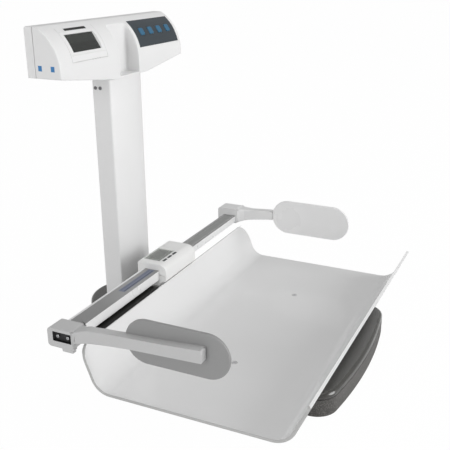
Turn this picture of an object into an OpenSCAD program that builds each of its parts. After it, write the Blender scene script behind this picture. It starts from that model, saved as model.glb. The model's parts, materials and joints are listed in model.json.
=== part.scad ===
// Digital baby weighing scale. A bent-sheet tray stands on a low moulded base, a column behind
// it carries the display head, and a length rod slides along the tray's back wall.
// Millimetres. +Z is up, +Y points to the back, where the column stands, and +X runs along the
// tray. The origin is on the floor, in the middle of the whole scale's footprint.
// "Corner line" means the line where the tray's floor and back wall would meet if they were
// not bent: most depths are measured from it, forwards or backwards.

/* [Base] */
// Half the width of the base
base_half_w = 170; // [165:1:200]
// Reach of the base in front of the corner line
base_front = 330; // [322:1:345]
// Reach of the wide part of the base behind the corner line
base_rear = 60; // [50:1:70]
// Radius of the bowed front edge
base_bow_r = 900; // [700:10:1100]
// Radius of the base's four corners
base_corner_r = 36; // [24:1:40]
// Half the width of the rear tongue that carries the column
tongue_half_w = 76; // [70:1:84]
// Reach of the tongue behind the corner line
tongue_reach = 229; // [218:1:240]
// Radius where the tongue meets the wide part
tongue_fillet_r = 30; // [20:1:40]
// Height of the base housing
base_h = 40; // [38:1:46]
// Wall of the base housing
base_wall = 3; // [2.5:0.1:4]
// Radius of the housing's top edge
base_edge_r = 8; // [4:0.5:10]
// Distance of the column's middle from the tray's middle
base_offset = 30; // [0:1:32]
// Distance of the base's wide part from the column's middle
base_shift = -15; // [-18:1:0]
// Thickness of the steel base plate
plate_t = 3; // [2:0.1:4]
// Height of the feet below the housing
foot_h = 4; // [3:0.5:8]
// Radius of a foot
foot_r = 17; // [14:0.5:20]
// Radius of a foot's stud
stud_r = 4; // [3:0.5:5]

/* [Tray] */
// Length of the tray
tray_l = 595; // [580:1:640]
// Depth of the tray's floor between its two corner lines
tray_floor = 301; // [295:1:315]
// Thickness of the tray's sheet
tray_t = 4.5; // [4:0.1:6]
// Height of the back wall above the floor
wall_rise = 68.5; // [66:0.5:80]
// How far the back wall leans out
wall_lean = 26; // [20:1:32]
// Height of the front lip above the floor
lip_rise = 64; // [55:1:75]
// How far the front lip leans out
lip_lean = 28; // [24:1:36]
// Inside radius of the bend at the back wall
wall_bend_r = 28; // [20:1:36]
// Inside radius of the bend at the lip
lip_bend_r = 35; // [30:1:50]
// Radius of the back wall's top corner at the sliding paddle's end
wall_corner_r = 38; // [20:1:45]
// Radius of the back wall's top corner at the fixed paddle's end
wall_near_r = 24; // [10:1:45]
// Radius of the lip's top corners
lip_corner_r = 8; // [4:1:15]
// Gap between the base housing and the tray
tray_gap = 7; // [4:0.5:8]
// Distance between the two tray screws
tray_screw_pitch = 274; // [260:1:280]
// Radius of a tray screw
tray_screw_r = 2; // [1.5:0.1:2.5]

/* [Load cell] */
// Length of the load cell
cell_l = 130; // [120:1:150]
// Width of the load cell
cell_w = 30; // [24:1:40]
// Height of the load cell
cell_h = 20; // [16:0.5:21]
// Radius of the two holes that let the cell bend
cell_hole_r = 7; // [5:0.5:7.5]
// Width of the bar under the tray
bar_w = 40; // [30:1:60]
// Thickness of the bar under the tray
bar_t = 4; // [3:0.5:4.5]
// Radius of the posts that carry the tray
post_r = 6; // [5:0.5:7]

/* [Column] */
// Width of the column
col_w = 100; // [94:1:104]
// Depth of the column's flat sides
col_side = 37; // [36:1:44]
// How far the column's front bows out
col_bow = 9; // [5:0.5:12]
// Wall of the column
col_t = 2.5; // [2:0.1:3.5]
// Distance of the flat sides' front edge behind the corner line
col_back = 137; // [134:1:140]
// Height of the sleeve that holds the column's lower end
foot_rise = 45; // [38:1:60]
// Reach of the head bracket's cheeks down into the column
cheek_drop = 46; // [40:1:60]

/* [Head] */
// Width of the head
head_w = 376; // [370:1:390]
// Height of the head's top above the floor
head_top = 568; // [550:1:620]
// Distance of the head's middle from the column's middle
head_shift = -3.5; // [-6:0.5:0]
// Height of the head at its two ends
head_h = 78; // [74:1:80]
// How much lower the head's underside is in the middle
head_dip = 18; // [10:1:20]
// Depth of the head
head_d = 64; // [62:1:68]
// Radius of the head's curved front
head_arc_r = 77.5; // [76:0.5:80]
// Distance of the head's front behind the corner line
head_back = 126; // [124:0.5:127]
// Wall of the head's housings
head_t = 2.5; // [2:0.1:3]
// Depth of the rear housing
rear_d = 16.5; // [15:0.5:18]
// Half the width of the recess in the middle
recess_half_w = 30; // [26:1:34]
// Depth of the recess in the middle
recess_d = 28; // [22:1:29]

/* [Display and keys] */
// Width of the display bezel
bezel_w = 95; // [92:1:98]
// Width of the display window
lcd_w = 79; // [70:1:79]
// Height of the display window
lcd_h = 35; // [28:1:35]
// Distance of the display's middle from the head's middle
lcd_x = 111; // [108:1:114]
// Width of the keypad panel
keypad_w = 137; // [134:1:140]
// Distance of the keypad's middle from the head's middle
keypad_x = 107; // [106:1:108]
// Distance between two keys
key_pitch = 30; // [27:0.5:31]
// Side of a square key
key_side = 14; // [12:0.5:18]
// Travel of a key
key_travel = 0.8; // [0.4:0.1:1]

/* [Length rod] */
// Length of the whole rod over both brackets, as it stands
rod_span = 612; // [608:1:640]
// Width of the outer extrusion
rod_w = 32; // [30:0.5:36]
// Height of the outer extrusion
rod_h = 17.5; // [16:0.5:18.5]
// Wall of both extrusions
rod_t = 1.6; // [1.2:0.1:2]
// Gap between the back wall and the rod
rod_gap = 4.8; // [4:0.1:8]
// Height of the rod's underside above the back wall
rod_lift = 6; // [5:0.5:10]
// Height of the rail's flange behind the back wall
flange_h = 45; // [42:1:48]
// Length of the rod's display housing
case_l = 109; // [104:1:112]
// Distance of the display housing's middle from the tray's middle
case_x = 3.5; // [2:0.5:8]
// Height of the display housing above the extrusion
case_rise = 12; // [12:0.5:15]
// Wall of the display housing
case_t = 2.2; // [1.8:0.1:2.6]
// Travel of the rod inwards
rod_in = 210; // [200:1:212]
// Width of the display window on the rod
rod_lcd_w = 54; // [46:1:56]
// Depth of the display window on the rod
rod_lcd_d = 34; // [26:1:34]
// Length of a rod key
rod_key_l = 13; // [9:0.5:13.5]
// Travel of a rod key
rod_key_travel = 0.6; // [0.3:0.1:0.7]

/* [Paddles] */
// Length of a paddle
paddle_l = 166; // [150:1:180]
// Height of a paddle
paddle_h = 70; // [60:1:72]
// Thickness of a paddle
paddle_t = 5; // [4:0.5:6]
// Height of a paddle's lower edge above the tray's floor
paddle_lift = 64.5; // [50:0.5:68]
// Gap between the corner line and a paddle
paddle_back = 50; // [44:1:56]
// How much nearer the far paddle is to the corner line
far_shift = 7; // [0:1:10]
// Thickness of a bracket along the rod
bracket_t = 32; // [30:1:34]
// Thickness of an arm along the rod
arm_t = 19; // [18:0.5:22]
// Height of an arm
arm_h = 20; // [16:1:24]

/* [Hidden] */

$fn = 48;
e = 0.01;
fit = 0.3;      // clearance between pieces that are put together
run = 0.4;      // clearance between the two extrusions
screw_r = 1.6;  // small screws
head_screw_h = 2.2;

// Leans of the tray's back wall and lip
wall_angle = atan(wall_lean / wall_rise);
lip_angle = atan(lip_lean / lip_rise);

// Corner line, so that the whole footprint is centred on the origin
tray_reach = tray_floor + lip_lean + tray_t / cos(lip_angle);
front_reach = max(tray_reach, base_front);
corner_y = (front_reach - tongue_reach) / 2;

// Heights
base_top = foot_h + base_h;
tray_z = base_top + tray_gap + tray_t;
plate_z = foot_h + 1;
plate_top = plate_z + plate_t;
wall_top = tray_z + wall_rise;

// Bends of the tray
wall_len = sqrt(pow(wall_lean, 2) + pow(wall_rise, 2));
wall_tangent = wall_bend_r / tan((90 + wall_angle) / 2);
lip_tangent = lip_bend_r / tan((90 + lip_angle) / 2);
screw_y = corner_y - tray_floor / 2;

// Column and head
col_y0 = corner_y + col_back;
col_y1 = col_y0 + col_side;
col_bow_r = (pow(col_w / 2, 2) + pow(col_bow, 2)) / (2 * col_bow);
head_y0 = corner_y + head_back;
head_y1 = head_y0 + head_d;
seam_y = head_y1 - rear_d;
head_x0 = head_shift - head_w / 2;
head_x1 = head_shift + head_w / 2;
head_bottom_end = head_top - head_h;
head_bottom = head_bottom_end - head_dip;
arc_y = head_y0 + head_arc_r;
head_top_drop = 69;
arc_z = head_top - head_top_drop;
recess_y = head_y0 + recess_d;
recess_z = head_bottom + 3;
recess_r = 7;
col_top = head_bottom;

// Display and keys, on the curved front
lcd_angle = 33;
key_angle = 33;
panel_a0 = 12.5;
panel_a1 = 52;
bezel_a0 = 10;
bezel_a1 = 55;
panel_t = 1;
key_drop = 4.7;
key_board_r = head_arc_r - key_drop - 3.3;

// Rod
rod_y0 = corner_y + wall_lean + tray_t / cos(wall_angle) + rod_gap;
rod_y1 = rod_y0 + rod_w;
rod_yc = rod_y0 + rod_w / 2;
rod_z0 = wall_top + rod_lift;
rod_zc = rod_z0 + rod_h / 2;
inner_w = rod_w - 2 * (rod_t + run);
inner_h = rod_h - 2 * (rod_t + run);
end_wall = 3;
socket_d = 5;
near_x = -rod_span / 2;
far_x = rod_span / 2;
outer_x0 = near_x + socket_d + end_wall + fit;
case_x0 = case_x - case_l / 2;
case_x1 = case_x + case_l / 2;
outer_x1 = case_x0 + 66;
plug_t = 6;
shoe_t = 6;
inner_x0 = outer_x0 + plug_t + rod_in + shoe_t + 1;
inner_x1 = far_x - socket_d - end_wall - fit;
case_y0 = rod_y0 - 14;
case_y1 = rod_y1 + 12;
case_z0 = rod_z0 - 12;
case_z1 = rod_z0 + rod_h + case_rise;
mount_x0 = -227;
mount_x1 = case_x0 - 20;

// Arms and paddles
paddle_y1 = corner_y - paddle_back;
paddle_y0 = paddle_y1 - paddle_l;
paddle_zc = tray_z + paddle_lift + paddle_h / 2;
paddle_in = 15;

// Colours
white = [0.93, 0.93, 0.92];
charcoal = [0.20, 0.20, 0.21];
steel = [0.62, 0.63, 0.65];
alu = [0.70, 0.71, 0.72];
grey = [0.74, 0.74, 0.73];
dark = [0.12, 0.12, 0.13];

// ---------------------------------------------------------------- shared shapes

function arc(cx, cy, r, a0, a1, n) =
    [for (i = [0 : n]) let (a = a0 + (a1 - a0) * i / n) [cx + r * cos(a), cy + r * sin(a)]];
function reverse(p) = [for (i = [len(p) - 1 : -1 : 0]) p[i]];
function mirrored(p) = [for (q = reverse(p)) [-q[0], q[1]]];

// A profile drawn in Y and Z, drawn out along X from x0 to x1
module along_x(x0, x1) {
    translate([x0, 0, 0]) rotate([90, 0, 90]) linear_extrude(x1 - x0) children();
}

// A profile drawn in X and Z, drawn out along Y from y0 to y1
module along_y(y0, y1) {
    translate([0, y1, 0]) rotate([90, 0, 0]) linear_extrude(y1 - y0) children();
}

module box(p0, p1) {
    translate(p0) cube(p1 - p0);
}

module rod(p, d, l, r) {
    translate(p) rotate(d) cylinder(h = l, r = r);
}

module rounded_square(size, r) {
    hull()
        for (sx = [-1, 1], sy = [-1, 1])
            translate([sx * (size[0] / 2 - r), sy * (size[1] / 2 - r)]) circle(r, $fn = 32);
}

// Stacks outlines of equal point counts into one closed solid
module loft(rings, heights) {
    n = len(rings[0]);
    m = len(rings);
    pts = [for (j = [0 : m - 1], p = rings[j]) [p[0], p[1], heights[j]]];
    sides = [for (j = [0 : m - 2], i = [0 : n - 1]) let (k = (i + 1) % n)
        each [[j * n + i, (j + 1) * n + i, (j + 1) * n + k], [j * n + i, (j + 1) * n + k, j * n + k]]];
    caps = [[for (i = [0 : n - 1]) i], [for (i = [n - 1 : -1 : 0]) (m - 1) * n + i]];
    polyhedron(points = pts, faces = concat(sides, caps));
}

// ---------------------------------------------------------------- base

// Half of the base's outline, drawn inwards by i, around the column's middle, with the wide part
// moved outwards by s
function base_half(i, s) =
    let (ay = -base_front + base_bow_r,
        bx = base_half_w - base_corner_r,
        by = ay - sqrt(pow(base_bow_r - base_corner_r, 2) - pow(bx, 2)),
        turn = atan2(by - ay, bx))
    concat(
        arc(s, ay, base_bow_r - i, -90, turn, 10),
        arc(bx + s, by, base_corner_r - i, turn + 7, 0, 10),
        arc(bx + s, base_rear - base_corner_r, base_corner_r - i, 0, 90, 10),
        arc(tongue_half_w + tongue_fillet_r, base_rear + tongue_fillet_r,
            tongue_fillet_r + i, 270, 180, 8),
        arc(0, tongue_reach - tongue_half_w, tongue_half_w - i, 0, 84, 14));
function base_outline(i) =
    let (right = base_half(i, base_shift),
        left = base_half(i, -base_shift),
        back = [0, tongue_reach - i])
    [for (p = concat(right, [back], mirrored([for (k = [1 : len(left) - 1]) left[k]])))
        [p[0] + base_offset, p[1] + corner_y]];

base_mid = base_offset + base_shift;
boss_at = [for (sx = [-1, 1], y = [-base_front + 50, -base_front / 2 + 40, base_rear - 26])
    [base_mid + sx * (base_half_w - 20), corner_y + y]];
foot_at = [for (sx = [-1, 1], y = [-base_front + 78, base_rear - 32])
    [base_mid + sx * (base_half_w - 48), corner_y + y]];
post_at = [for (sx = [-1, 1]) [sx * tray_screw_pitch / 2, screw_y]];
boss_r = 5;

module base_housing() {
    steps = 6;
    edge = [for (k = [0 : steps]) let (a = 90 * k / steps)
        [base_edge_r * (1 - cos(a)), base_top - base_edge_r + base_edge_r * sin(a)]];
    color(charcoal) difference() {
        union() {
            difference() {
                loft(concat([base_outline(0)], [for (p = edge) base_outline(p[0])]),
                    concat([foot_h], [for (p = edge) p[1]]));
                translate([0, 0, foot_h - 1])
                    linear_extrude(base_h + 1 - base_wall) polygon(base_outline(base_wall + base_edge_r / 3));
            }
            for (p = boss_at)
                translate([p[0], p[1], plate_top]) cylinder(h = base_top - plate_top - 1, r = boss_r);
        }
        for (p = boss_at)
            translate([p[0], p[1], plate_top - 1]) cylinder(h = 16, r = screw_r);
        for (p = post_at)
            translate([p[0], p[1], base_top - base_wall - 9]) cylinder(h = 20, r = post_r + 2);
        translate([0, 0, base_top - base_wall - 1])
            linear_extrude(base_wall + 2) column_outline(-fit);
    }
}

module base_plate() {
    inset = base_wall + base_edge_r / 3 + fit;
    color(steel) difference() {
        translate([0, 0, plate_z]) linear_extrude(plate_t) polygon(base_outline(inset));
        for (p = boss_at)
            translate([p[0], p[1], plate_z - 1]) cylinder(h = plate_t + 2, r = screw_r + 0.2);
        for (p = foot_at)
            translate([p[0], p[1], plate_z - 1]) cylinder(h = plate_t + 2, r = stud_r + fit);
        for (p = cell_fixed_at)
            translate([p[0], p[1], plate_z - 1]) cylinder(h = plate_t + 2, r = cell_screw_r + 0.2);
        for (p = column_foot_at)
            translate([p[0], p[1], plate_z - 1]) cylinder(h = plate_t + 2, r = cell_screw_r + 0.2);
    }
}

module base_screws() {
    color(steel) for (p = boss_at) {
        translate([p[0], p[1], plate_z - 1.6]) cylinder(h = 1.6, r = screw_r * 1.9);
        translate([p[0], p[1], plate_z - 1]) cylinder(h = plate_t + 12, r = screw_r - 0.05);
    }
}

module feet() {
    color(dark) for (p = foot_at) translate([p[0], p[1], 0]) difference() {
        union() {
            cylinder(h = plate_z - 1.2, r = foot_r);
            translate([0, 0, plate_z - 1.2 - e]) cylinder(h = 1, r = foot_r - 5);
        }
        translate([0, 0, 1.5]) cylinder(h = foot_h + 2, r = stud_r + 0.05);
    }
}

module foot_studs() {
    color(steel) for (p = foot_at) translate([p[0], p[1], 0]) {
        translate([0, 0, 1.6]) cylinder(h = plate_top + 9, r = stud_r);
        translate([0, 0, plate_top + 0.1]) cylinder(h = 4, r = stud_r * 1.75, $fn = 6);
    }
}

// ---------------------------------------------------------------- load cell and tray support

cell_screw_r = 2.5;
cell_pad_h = 4;
cell_z0 = plate_top + cell_pad_h;
cell_z1 = cell_z0 + cell_h;
cell_hole_x = cell_hole_r + 4;
bar_top = base_top - base_wall - 1;
bar_z0 = bar_top - bar_t;
cell_fixed_at = [for (k = [0, 1]) [-cell_l / 2 + 10 + 15 * k, screw_y]];
cell_free_at = [for (k = [0, 1]) [cell_l / 2 - 10 - 15 * k, screw_y]];
pad_len = 32;
tray_pad_t = 1.5;
post_top = tray_z - tray_t - tray_pad_t;

module load_cell() {
    mid_z = (cell_z0 + cell_z1) / 2;
    color(alu) difference() {
        box([-cell_l / 2, screw_y - cell_w / 2, cell_z0], [cell_l / 2, screw_y + cell_w / 2, cell_z1]);
        for (sx = [-1, 1])
            translate([sx * cell_hole_x, screw_y + cell_w / 2 + 1, mid_z])
                rotate([90, 0, 0]) cylinder(h = cell_w + 2, r = cell_hole_r);
        box([-cell_hole_x, screw_y - cell_w, mid_z - 1.5], [cell_hole_x, screw_y + cell_w, mid_z + 1.5]);
        for (p = cell_fixed_at)
            translate([p[0], p[1], cell_z0 - 1]) cylinder(h = 9, r = cell_screw_r);
        for (p = cell_free_at)
            translate([p[0], p[1], cell_z1 - 8]) cylinder(h = 9, r = cell_screw_r);
    }
}

module cell_spacers() {
    color(steel) difference() {
        union() {
            box([-cell_l / 2, screw_y - cell_w / 2, plate_top], [-cell_l / 2 + pad_len, screw_y + cell_w / 2, cell_z0]);
            box([cell_l / 2 - pad_len, screw_y - cell_w / 2, cell_z1], [cell_l / 2, screw_y + cell_w / 2, bar_z0]);
        }
        for (p = cell_fixed_at)
            translate([p[0], p[1], plate_top - 1]) cylinder(h = cell_pad_h + 2, r = cell_screw_r + 0.2);
        for (p = cell_free_at)
            translate([p[0], p[1], cell_z1 - 1]) cylinder(h = bar_z0 - cell_z1 + 2, r = cell_screw_r + 0.2);
    }
}

module cell_screws() {
    color(dark) {
        for (p = cell_fixed_at) {
            translate([p[0], p[1], plate_z - 0.8]) cylinder(h = 0.8, r = cell_screw_r * 1.7);
            translate([p[0], p[1], plate_z - e]) cylinder(h = plate_t + cell_pad_h + 6, r = cell_screw_r - 0.05);
        }
        for (p = cell_free_at) {
            translate([p[0], p[1], bar_top]) cylinder(h = 0.8, r = cell_screw_r * 1.7);
            translate([p[0], p[1], cell_z1 - 6]) cylinder(h = bar_top - cell_z1 + 6 + e, r = cell_screw_r - 0.05);
        }
    }
}

module tray_support() {
    bar_half = tray_screw_pitch / 2 + post_r;
    color(steel) difference() {
        union() {
            box([-bar_half, screw_y - bar_w / 2, bar_z0], [bar_half, screw_y + bar_w / 2, bar_top]);
            for (p = post_at)
                translate([p[0], p[1], bar_z0]) cylinder(h = post_top - bar_z0, r = post_r);
        }
        for (p = cell_free_at)
            translate([p[0], p[1], bar_z0 - 1]) cylinder(h = bar_t + 2, r = cell_screw_r + 0.2);
        for (p = post_at)
            translate([p[0], p[1], post_top - 9]) cylinder(h = 10, r = tray_screw_r + 0.05);
    }
}

module tray_pads() {
    color(dark) for (p = post_at) translate([p[0], p[1], post_top]) difference() {
        cylinder(h = tray_pad_t, r = post_r + 3);
        translate([0, 0, -1]) cylinder(h = tray_pad_t + 2, r = tray_screw_r + 0.3);
    }
}

// ---------------------------------------------------------------- tray

// The tray's section in Y and Z, drawn outwards by o from its inside face
function wall_point(s, o) =
    [corner_y + s * sin(wall_angle) + o * cos(wall_angle), tray_z + s * cos(wall_angle) - o * sin(wall_angle)];
function lip_point(s, o) =
    [corner_y - tray_floor - s * sin(lip_angle) - o * cos(lip_angle), tray_z + s * cos(lip_angle) - o * sin(lip_angle)];
lip_len = sqrt(pow(lip_lean, 2) + pow(lip_rise, 2));
function tray_face(o) = concat(
    [lip_point(lip_len, o)],
    arc(corner_y - tray_floor + lip_tangent, tray_z + lip_bend_r, lip_bend_r + o, 180 + lip_angle, 270, 18),
    arc(corner_y - wall_tangent, tray_z + wall_bend_r, wall_bend_r + o, 270, 360 - wall_angle, 18),
    [wall_point(wall_len, o)]);

// What a rounded corner takes away, in X and Z, at an end with sign sx
module corner_cut(sx, top, r) {
    difference() {
        translate([sx > 0 ? tray_l / 2 - r : -tray_l / 2 - 1, top - r]) square([r + 1, r + 1]);
        translate([sx * (tray_l / 2 - r), top - r]) circle(r, $fn = 96);
    }
}

module tray() {
    color(white) difference() {
        along_x(-tray_l / 2, tray_l / 2) polygon(concat(tray_face(0), reverse(tray_face(tray_t))));
        for (sx = [-1, 1]) {
            along_y(corner_y, corner_y + wall_lean + tray_t + 5) corner_cut(sx, wall_top, sx < 0 ? wall_near_r : wall_corner_r);
            along_y(corner_y - tray_floor - lip_lean - tray_t - 5, corner_y - tray_floor)
                corner_cut(sx, tray_z + lip_rise, lip_corner_r);
        }
        for (p = post_at) {
            translate([p[0], p[1], tray_z - tray_t - 1]) cylinder(h = tray_t + 2, r = tray_screw_r + 0.2);
            translate([p[0], p[1], tray_z - 1.6]) cylinder(h = 2, r = tray_screw_r * 2 + 0.2);
        }
        for (x = mount_screw_x)
            translate([x, wall_point(mount_screw_s, tray_t)[0], wall_point(mount_screw_s, tray_t)[1]])
                rotate([90 - wall_angle, 0, 0]) translate([0, 0, -1]) cylinder(h = 4.6, r = screw_r + 0.05);
    }
}

module tray_screws() {
    color(steel) for (p = post_at) {
        translate([p[0], p[1], tray_z - 1.6]) cylinder(h = 1.6, r = tray_screw_r * 2);
        translate([p[0], p[1], post_top - 8]) cylinder(h = tray_z - 1.6 - post_top + 8 + e, r = tray_screw_r);
    }
}

// ---------------------------------------------------------------- column

// Outline of the column from above, drawn inwards by i
module column_outline(i) {
    half = col_w / 2 - i;
    bow = arc(0, col_bow_r - col_bow, col_bow_r - i, 270 - asin(half / (col_bow_r - i)),
        270 + asin(half / (col_bow_r - i)), 20);
    translate([base_offset, col_y0])
        polygon(concat(bow, arc(half - 4, col_side - i - 4, 4, 0, 90, 4), arc(-half + 4, col_side - i - 4, 4, 90, 180, 4)));
}

column_z0 = plate_top + 5;
side_screw_at = [for (k = [-1, 1]) [col_y0 + col_side * 0.66 + 4.8 * k, col_top - 17]];
bracket_z0 = col_top - cheek_drop;
foot_plate_half = col_w / 2 + 13;
column_foot_at = [for (sx = [-1, 1], k = [0, 1]) [base_offset + sx * (col_w / 2 + 7.5), col_y0 + 4 + 22 * k]];

// Gap in the column's lower edge and in its foot that lets the cable in
module cable_gap() {
    box([cable_x - cable_r - 2, col_y0 - col_bow - 2, plate_top + 5 - e], [cable_x + cable_r + 2, col_y0 + 10, plate_top + 15]);
}

module column() {
    color(white) difference() {
        translate([0, 0, column_z0]) linear_extrude(col_top - column_z0) column_outline(0);
        cable_gap();
        translate([0, 0, column_z0 - 1]) linear_extrude(col_top - column_z0 + 2) column_outline(col_t);
        for (p = side_screw_at)
            translate([base_offset - col_w / 2 - 1, p[0], p[1]]) rotate([0, 90, 0]) cylinder(h = col_w + 2, r = screw_r + 0.2);
    }
}

module column_foot() {
    inside = col_t + fit;
    color(steel) difference() {
        union() {
            box([base_offset - foot_plate_half, col_y0 - 4, plate_top], [base_offset + foot_plate_half, col_y1 - 4, column_z0]);
            translate([0, 0, plate_top]) linear_extrude(foot_rise) column_outline(inside);
        }
        translate([0, 0, plate_top - 1]) linear_extrude(foot_rise + 2) column_outline(inside + 3);
        cable_gap();
        for (p = column_foot_at)
            translate([p[0], p[1], plate_top - 1]) cylinder(h = 8, r = cell_screw_r + 0.05);
    }
}

module foot_screws() {
    color(dark) for (p = column_foot_at) {
        translate([p[0], p[1], plate_z - 0.8]) cylinder(h = 0.8, r = cell_screw_r * 1.7);
        translate([p[0], p[1], plate_z - e]) cylinder(h = plate_t + 5, r = cell_screw_r);
    }
}

module column_screws() {
    color(dark) for (sx = [-1, 1], p = side_screw_at) {
        x = base_offset + sx * col_w / 2;
        translate([x, p[0], p[1]]) rotate([0, sx * 90, 0]) cylinder(h = 1.6, r = screw_r * 1.9);
        translate([x, p[0], p[1]]) rotate([0, -sx * 90, 0]) translate([0, 0, -e]) cylinder(h = col_t + fit + 3, r = screw_r);
    }
}

// Two cheeks inside the column's top, joined by a bridge inside the head
module head_bracket() {
    cheek_x = col_w / 2 - col_t - fit;
    cheek_t = 3;
    cheek_y0 = col_y0 + 6;
    cheek_y1 = col_y1 - col_t - 4;
    bridge_z = head_bottom + 14;
    color(steel) difference() {
        union() {
            for (sx = [-1, 1])
                translate([base_offset + sx * (cheek_x - cheek_t / 2), 0, 0])
                    box([-cheek_t / 2, cheek_y0, bracket_z0], [cheek_t / 2, cheek_y1, bridge_z]);
            box([base_offset - cheek_x, recess_y + head_t + 1, bridge_z - e], [base_offset + cheek_x, cheek_y1, bridge_z + 3]);
        }
        for (p = side_screw_at)
            translate([base_offset - col_w / 2, p[0], p[1]]) rotate([0, 90, 0]) cylinder(h = col_w, r = screw_r + 0.05);
        translate([base_offset, cable_y, bridge_z - 1]) cylinder(h = 6, r = cable_r + 0.5);
    }
}

cable_r = 2;
cable_x = cell_l / 2 - 4;
cable_y = (recess_y + head_t + 1 + col_y1 - col_t - 4) / 2;

// Cable from the load cell up the column to the main board
module signal_cable() {
    r = cable_r;
    y = cable_y;
    z = plate_top + 3;
    top = head_bottom + 26;
    color(dark) {
        rod([cable_x, screw_y + cell_w / 2, z + 6], [-90, 0, 0], col_y0 + 20 - screw_y - cell_w / 2, r);
        translate([cable_x, col_y0 + 20, z + 6]) sphere(r + 0.1);
        cable_run([cable_x, col_y0 + 20, z + 6], [base_offset, y, z + 26], r);
        translate([base_offset, y, z + 26]) sphere(r + 0.1);
        rod([base_offset, y, z + 26], [0, 0, 0], top - z - 26, r);
        translate([base_offset, y, top]) sphere(r + 0.1);
        cable_run([base_offset, y, top], [base_offset - lcd_x + 30, y, top + 12], r);
    }
}

module cable_run(a, b, r) {
    d = b - a;
    l = norm(d);
    translate(a) rotate([0, acos(d[2] / l), atan2(d[1], d[0])]) cylinder(h = l, r = r);
}

// ---------------------------------------------------------------- head

// The head's section in Y and Z, drawn inwards by i
function head_section(i) =
    let (r = head_arc_r - i,
        top = head_top - i,
        a1 = asin((top - arc_z) / r))
    concat([[head_y0 + i, head_bottom - 20]],
        arc(arc_y, arc_z, r, 180, 180 - a1, 24),
        [[head_y1 - i - 3, top], [head_y1 - i, top - 3], [head_y1 - i, head_bottom - 20]]);

// The head seen from the front, drawn inwards by i
function head_front_view(i) =
    let (left = head_x0 + i,
        right = head_x1 - i,
        flat = col_w / 2 + 4)
    [[left, head_top + 5], [left, head_bottom_end + i], [-flat, head_bottom + i], [flat, head_bottom + i],
        [right, head_bottom_end + i], [right, head_top + 5]];

module head_solid(i) {
    intersection() {
        translate([base_offset, 0, 0]) along_x(head_x0 + i, head_x1 - i) polygon(head_section(i));
        translate([base_offset, 0, 0]) along_y(head_y0 - 5, head_y1 + 5) polygon(head_front_view(i));
    }
}

// The recess in the middle, wider and deeper by g all round
module recess(g) {
    w = recess_half_w + g;
    r = recess_r + g;
    translate([base_offset, 0, recess_z - g]) linear_extrude(head_top + 5 - recess_z + g)
        polygon(concat([[-w, head_y0 - 5], [w, head_y0 - 5]], arc(w - r, recess_y + g - r, r, 0, 90, 10),
            arc(r - w, recess_y + g - r, r, 90, 180, 10)));
}

// A frame of axes on the curved front: Z points out of the surface at angle a, from the arc's centre
module on_front(x, a) {
    translate([base_offset + x, arc_y, arc_z]) rotate([90 - a, 0, 0]) children();
}

// A curved panel between two radii, between two angles of the front
module arc_panel(x0, x1, a0, a1, r0, r1) {
    along_x(base_offset + x0, base_offset + x1)
        polygon(concat(arc(arc_y, arc_z, r1, 180 - a0, 180 - a1, 16), arc(arc_y, arc_z, r0, 180 - a1, 180 - a0, 16)));
}

key_x = [for (k = [0 : 3]) keypad_x - 1.5 * key_pitch + k * key_pitch];
bezel_x0 = -lcd_x - bezel_w / 2;
bezel_x1 = -lcd_x + bezel_w / 2;
panel_x0 = keypad_x - keypad_w / 2;
panel_x1 = keypad_x + keypad_w / 2;
head_screw_at = [
    [base_offset + head_x0 + head_t + 2.5, head_bottom_end + 10],
    [base_offset + head_x1 - head_t - 2.5, head_bottom_end + 10],
    [base_offset - recess_half_w - head_t - 2, head_bottom_end + 46],
    [base_offset + recess_half_w + head_t + 2, head_bottom_end + 46]];
keypad_post_at = [for (sx = [-1, 1], sy = [-1, 1]) [keypad_x + sx * (2 * key_pitch + 3), sy * 12]];
lcd_post_at = [for (sx = [-1, 1]) -lcd_x + sx * (bezel_w / 2 - 3)];
key_hole = key_side + 2 * fit;

module head_front() {
    color(white) difference() {
        union() {
            difference() {
                head_solid(0);
                difference() {
                    head_solid(head_t);
                    recess(head_t);
                }
                recess(0);
            }
            for (p = keypad_post_at)
                on_front(p[0], key_angle) translate([0, p[1], key_board_r]) cylinder(h = head_arc_r - head_t + 0.3 - key_board_r, r = 3);
            for (p = head_screw_at)
                rod([p[0], seam_y, p[1]], [90, 0, 0], seam_y - recess_y + 4, 3.5);
        }
        box([-head_w, seam_y, 0], [head_w, head_y1 + 5, head_top + 5]);
        arc_panel(bezel_x0 - fit, bezel_x1 + fit, bezel_a0 - 0.2, bezel_a1 + 0.2, head_arc_r - 8, head_arc_r + 5);
        arc_panel(panel_x0, panel_x1, panel_a0, panel_a1, head_arc_r - panel_t, head_arc_r + 5);
        for (x = key_x)
            on_front(x, key_angle) translate([0, 0, head_arc_r - 6]) linear_extrude(12)
                square([key_hole, key_hole], center = true);
        for (p = head_screw_at)
            rod([p[0], seam_y + 1, p[1]], [90, 0, 0], 12, screw_r);
        for (sx = [-1, 1])
            cheek_slot(sx);
        translate([base_offset, cable_y, head_bottom - 5]) cylinder(h = 12, r = cable_r + 1.5);
    }
}

// Where a cheek of the head bracket passes through the head's floor
module cheek_slot(sx) {
    translate([base_offset + sx * (col_w / 2 - col_t - fit - 1.5), 0, 0])
        box([-2, col_y0 + 6 - fit, head_bottom - 5], [2, col_y1 - col_t - 4 + fit, head_bottom + 8]);
}

inlet_x = base_offset + head_x0 + 42;
inlet_z = head_bottom_end + 16;
inlet_r = 2.8;
inlet_d = 9.5;
door_x0 = base_offset + keypad_x - 56;
door_x1 = base_offset + keypad_x + 56;
door_z0 = head_bottom_end + 6;
door_z1 = door_z0 + 32;

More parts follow.
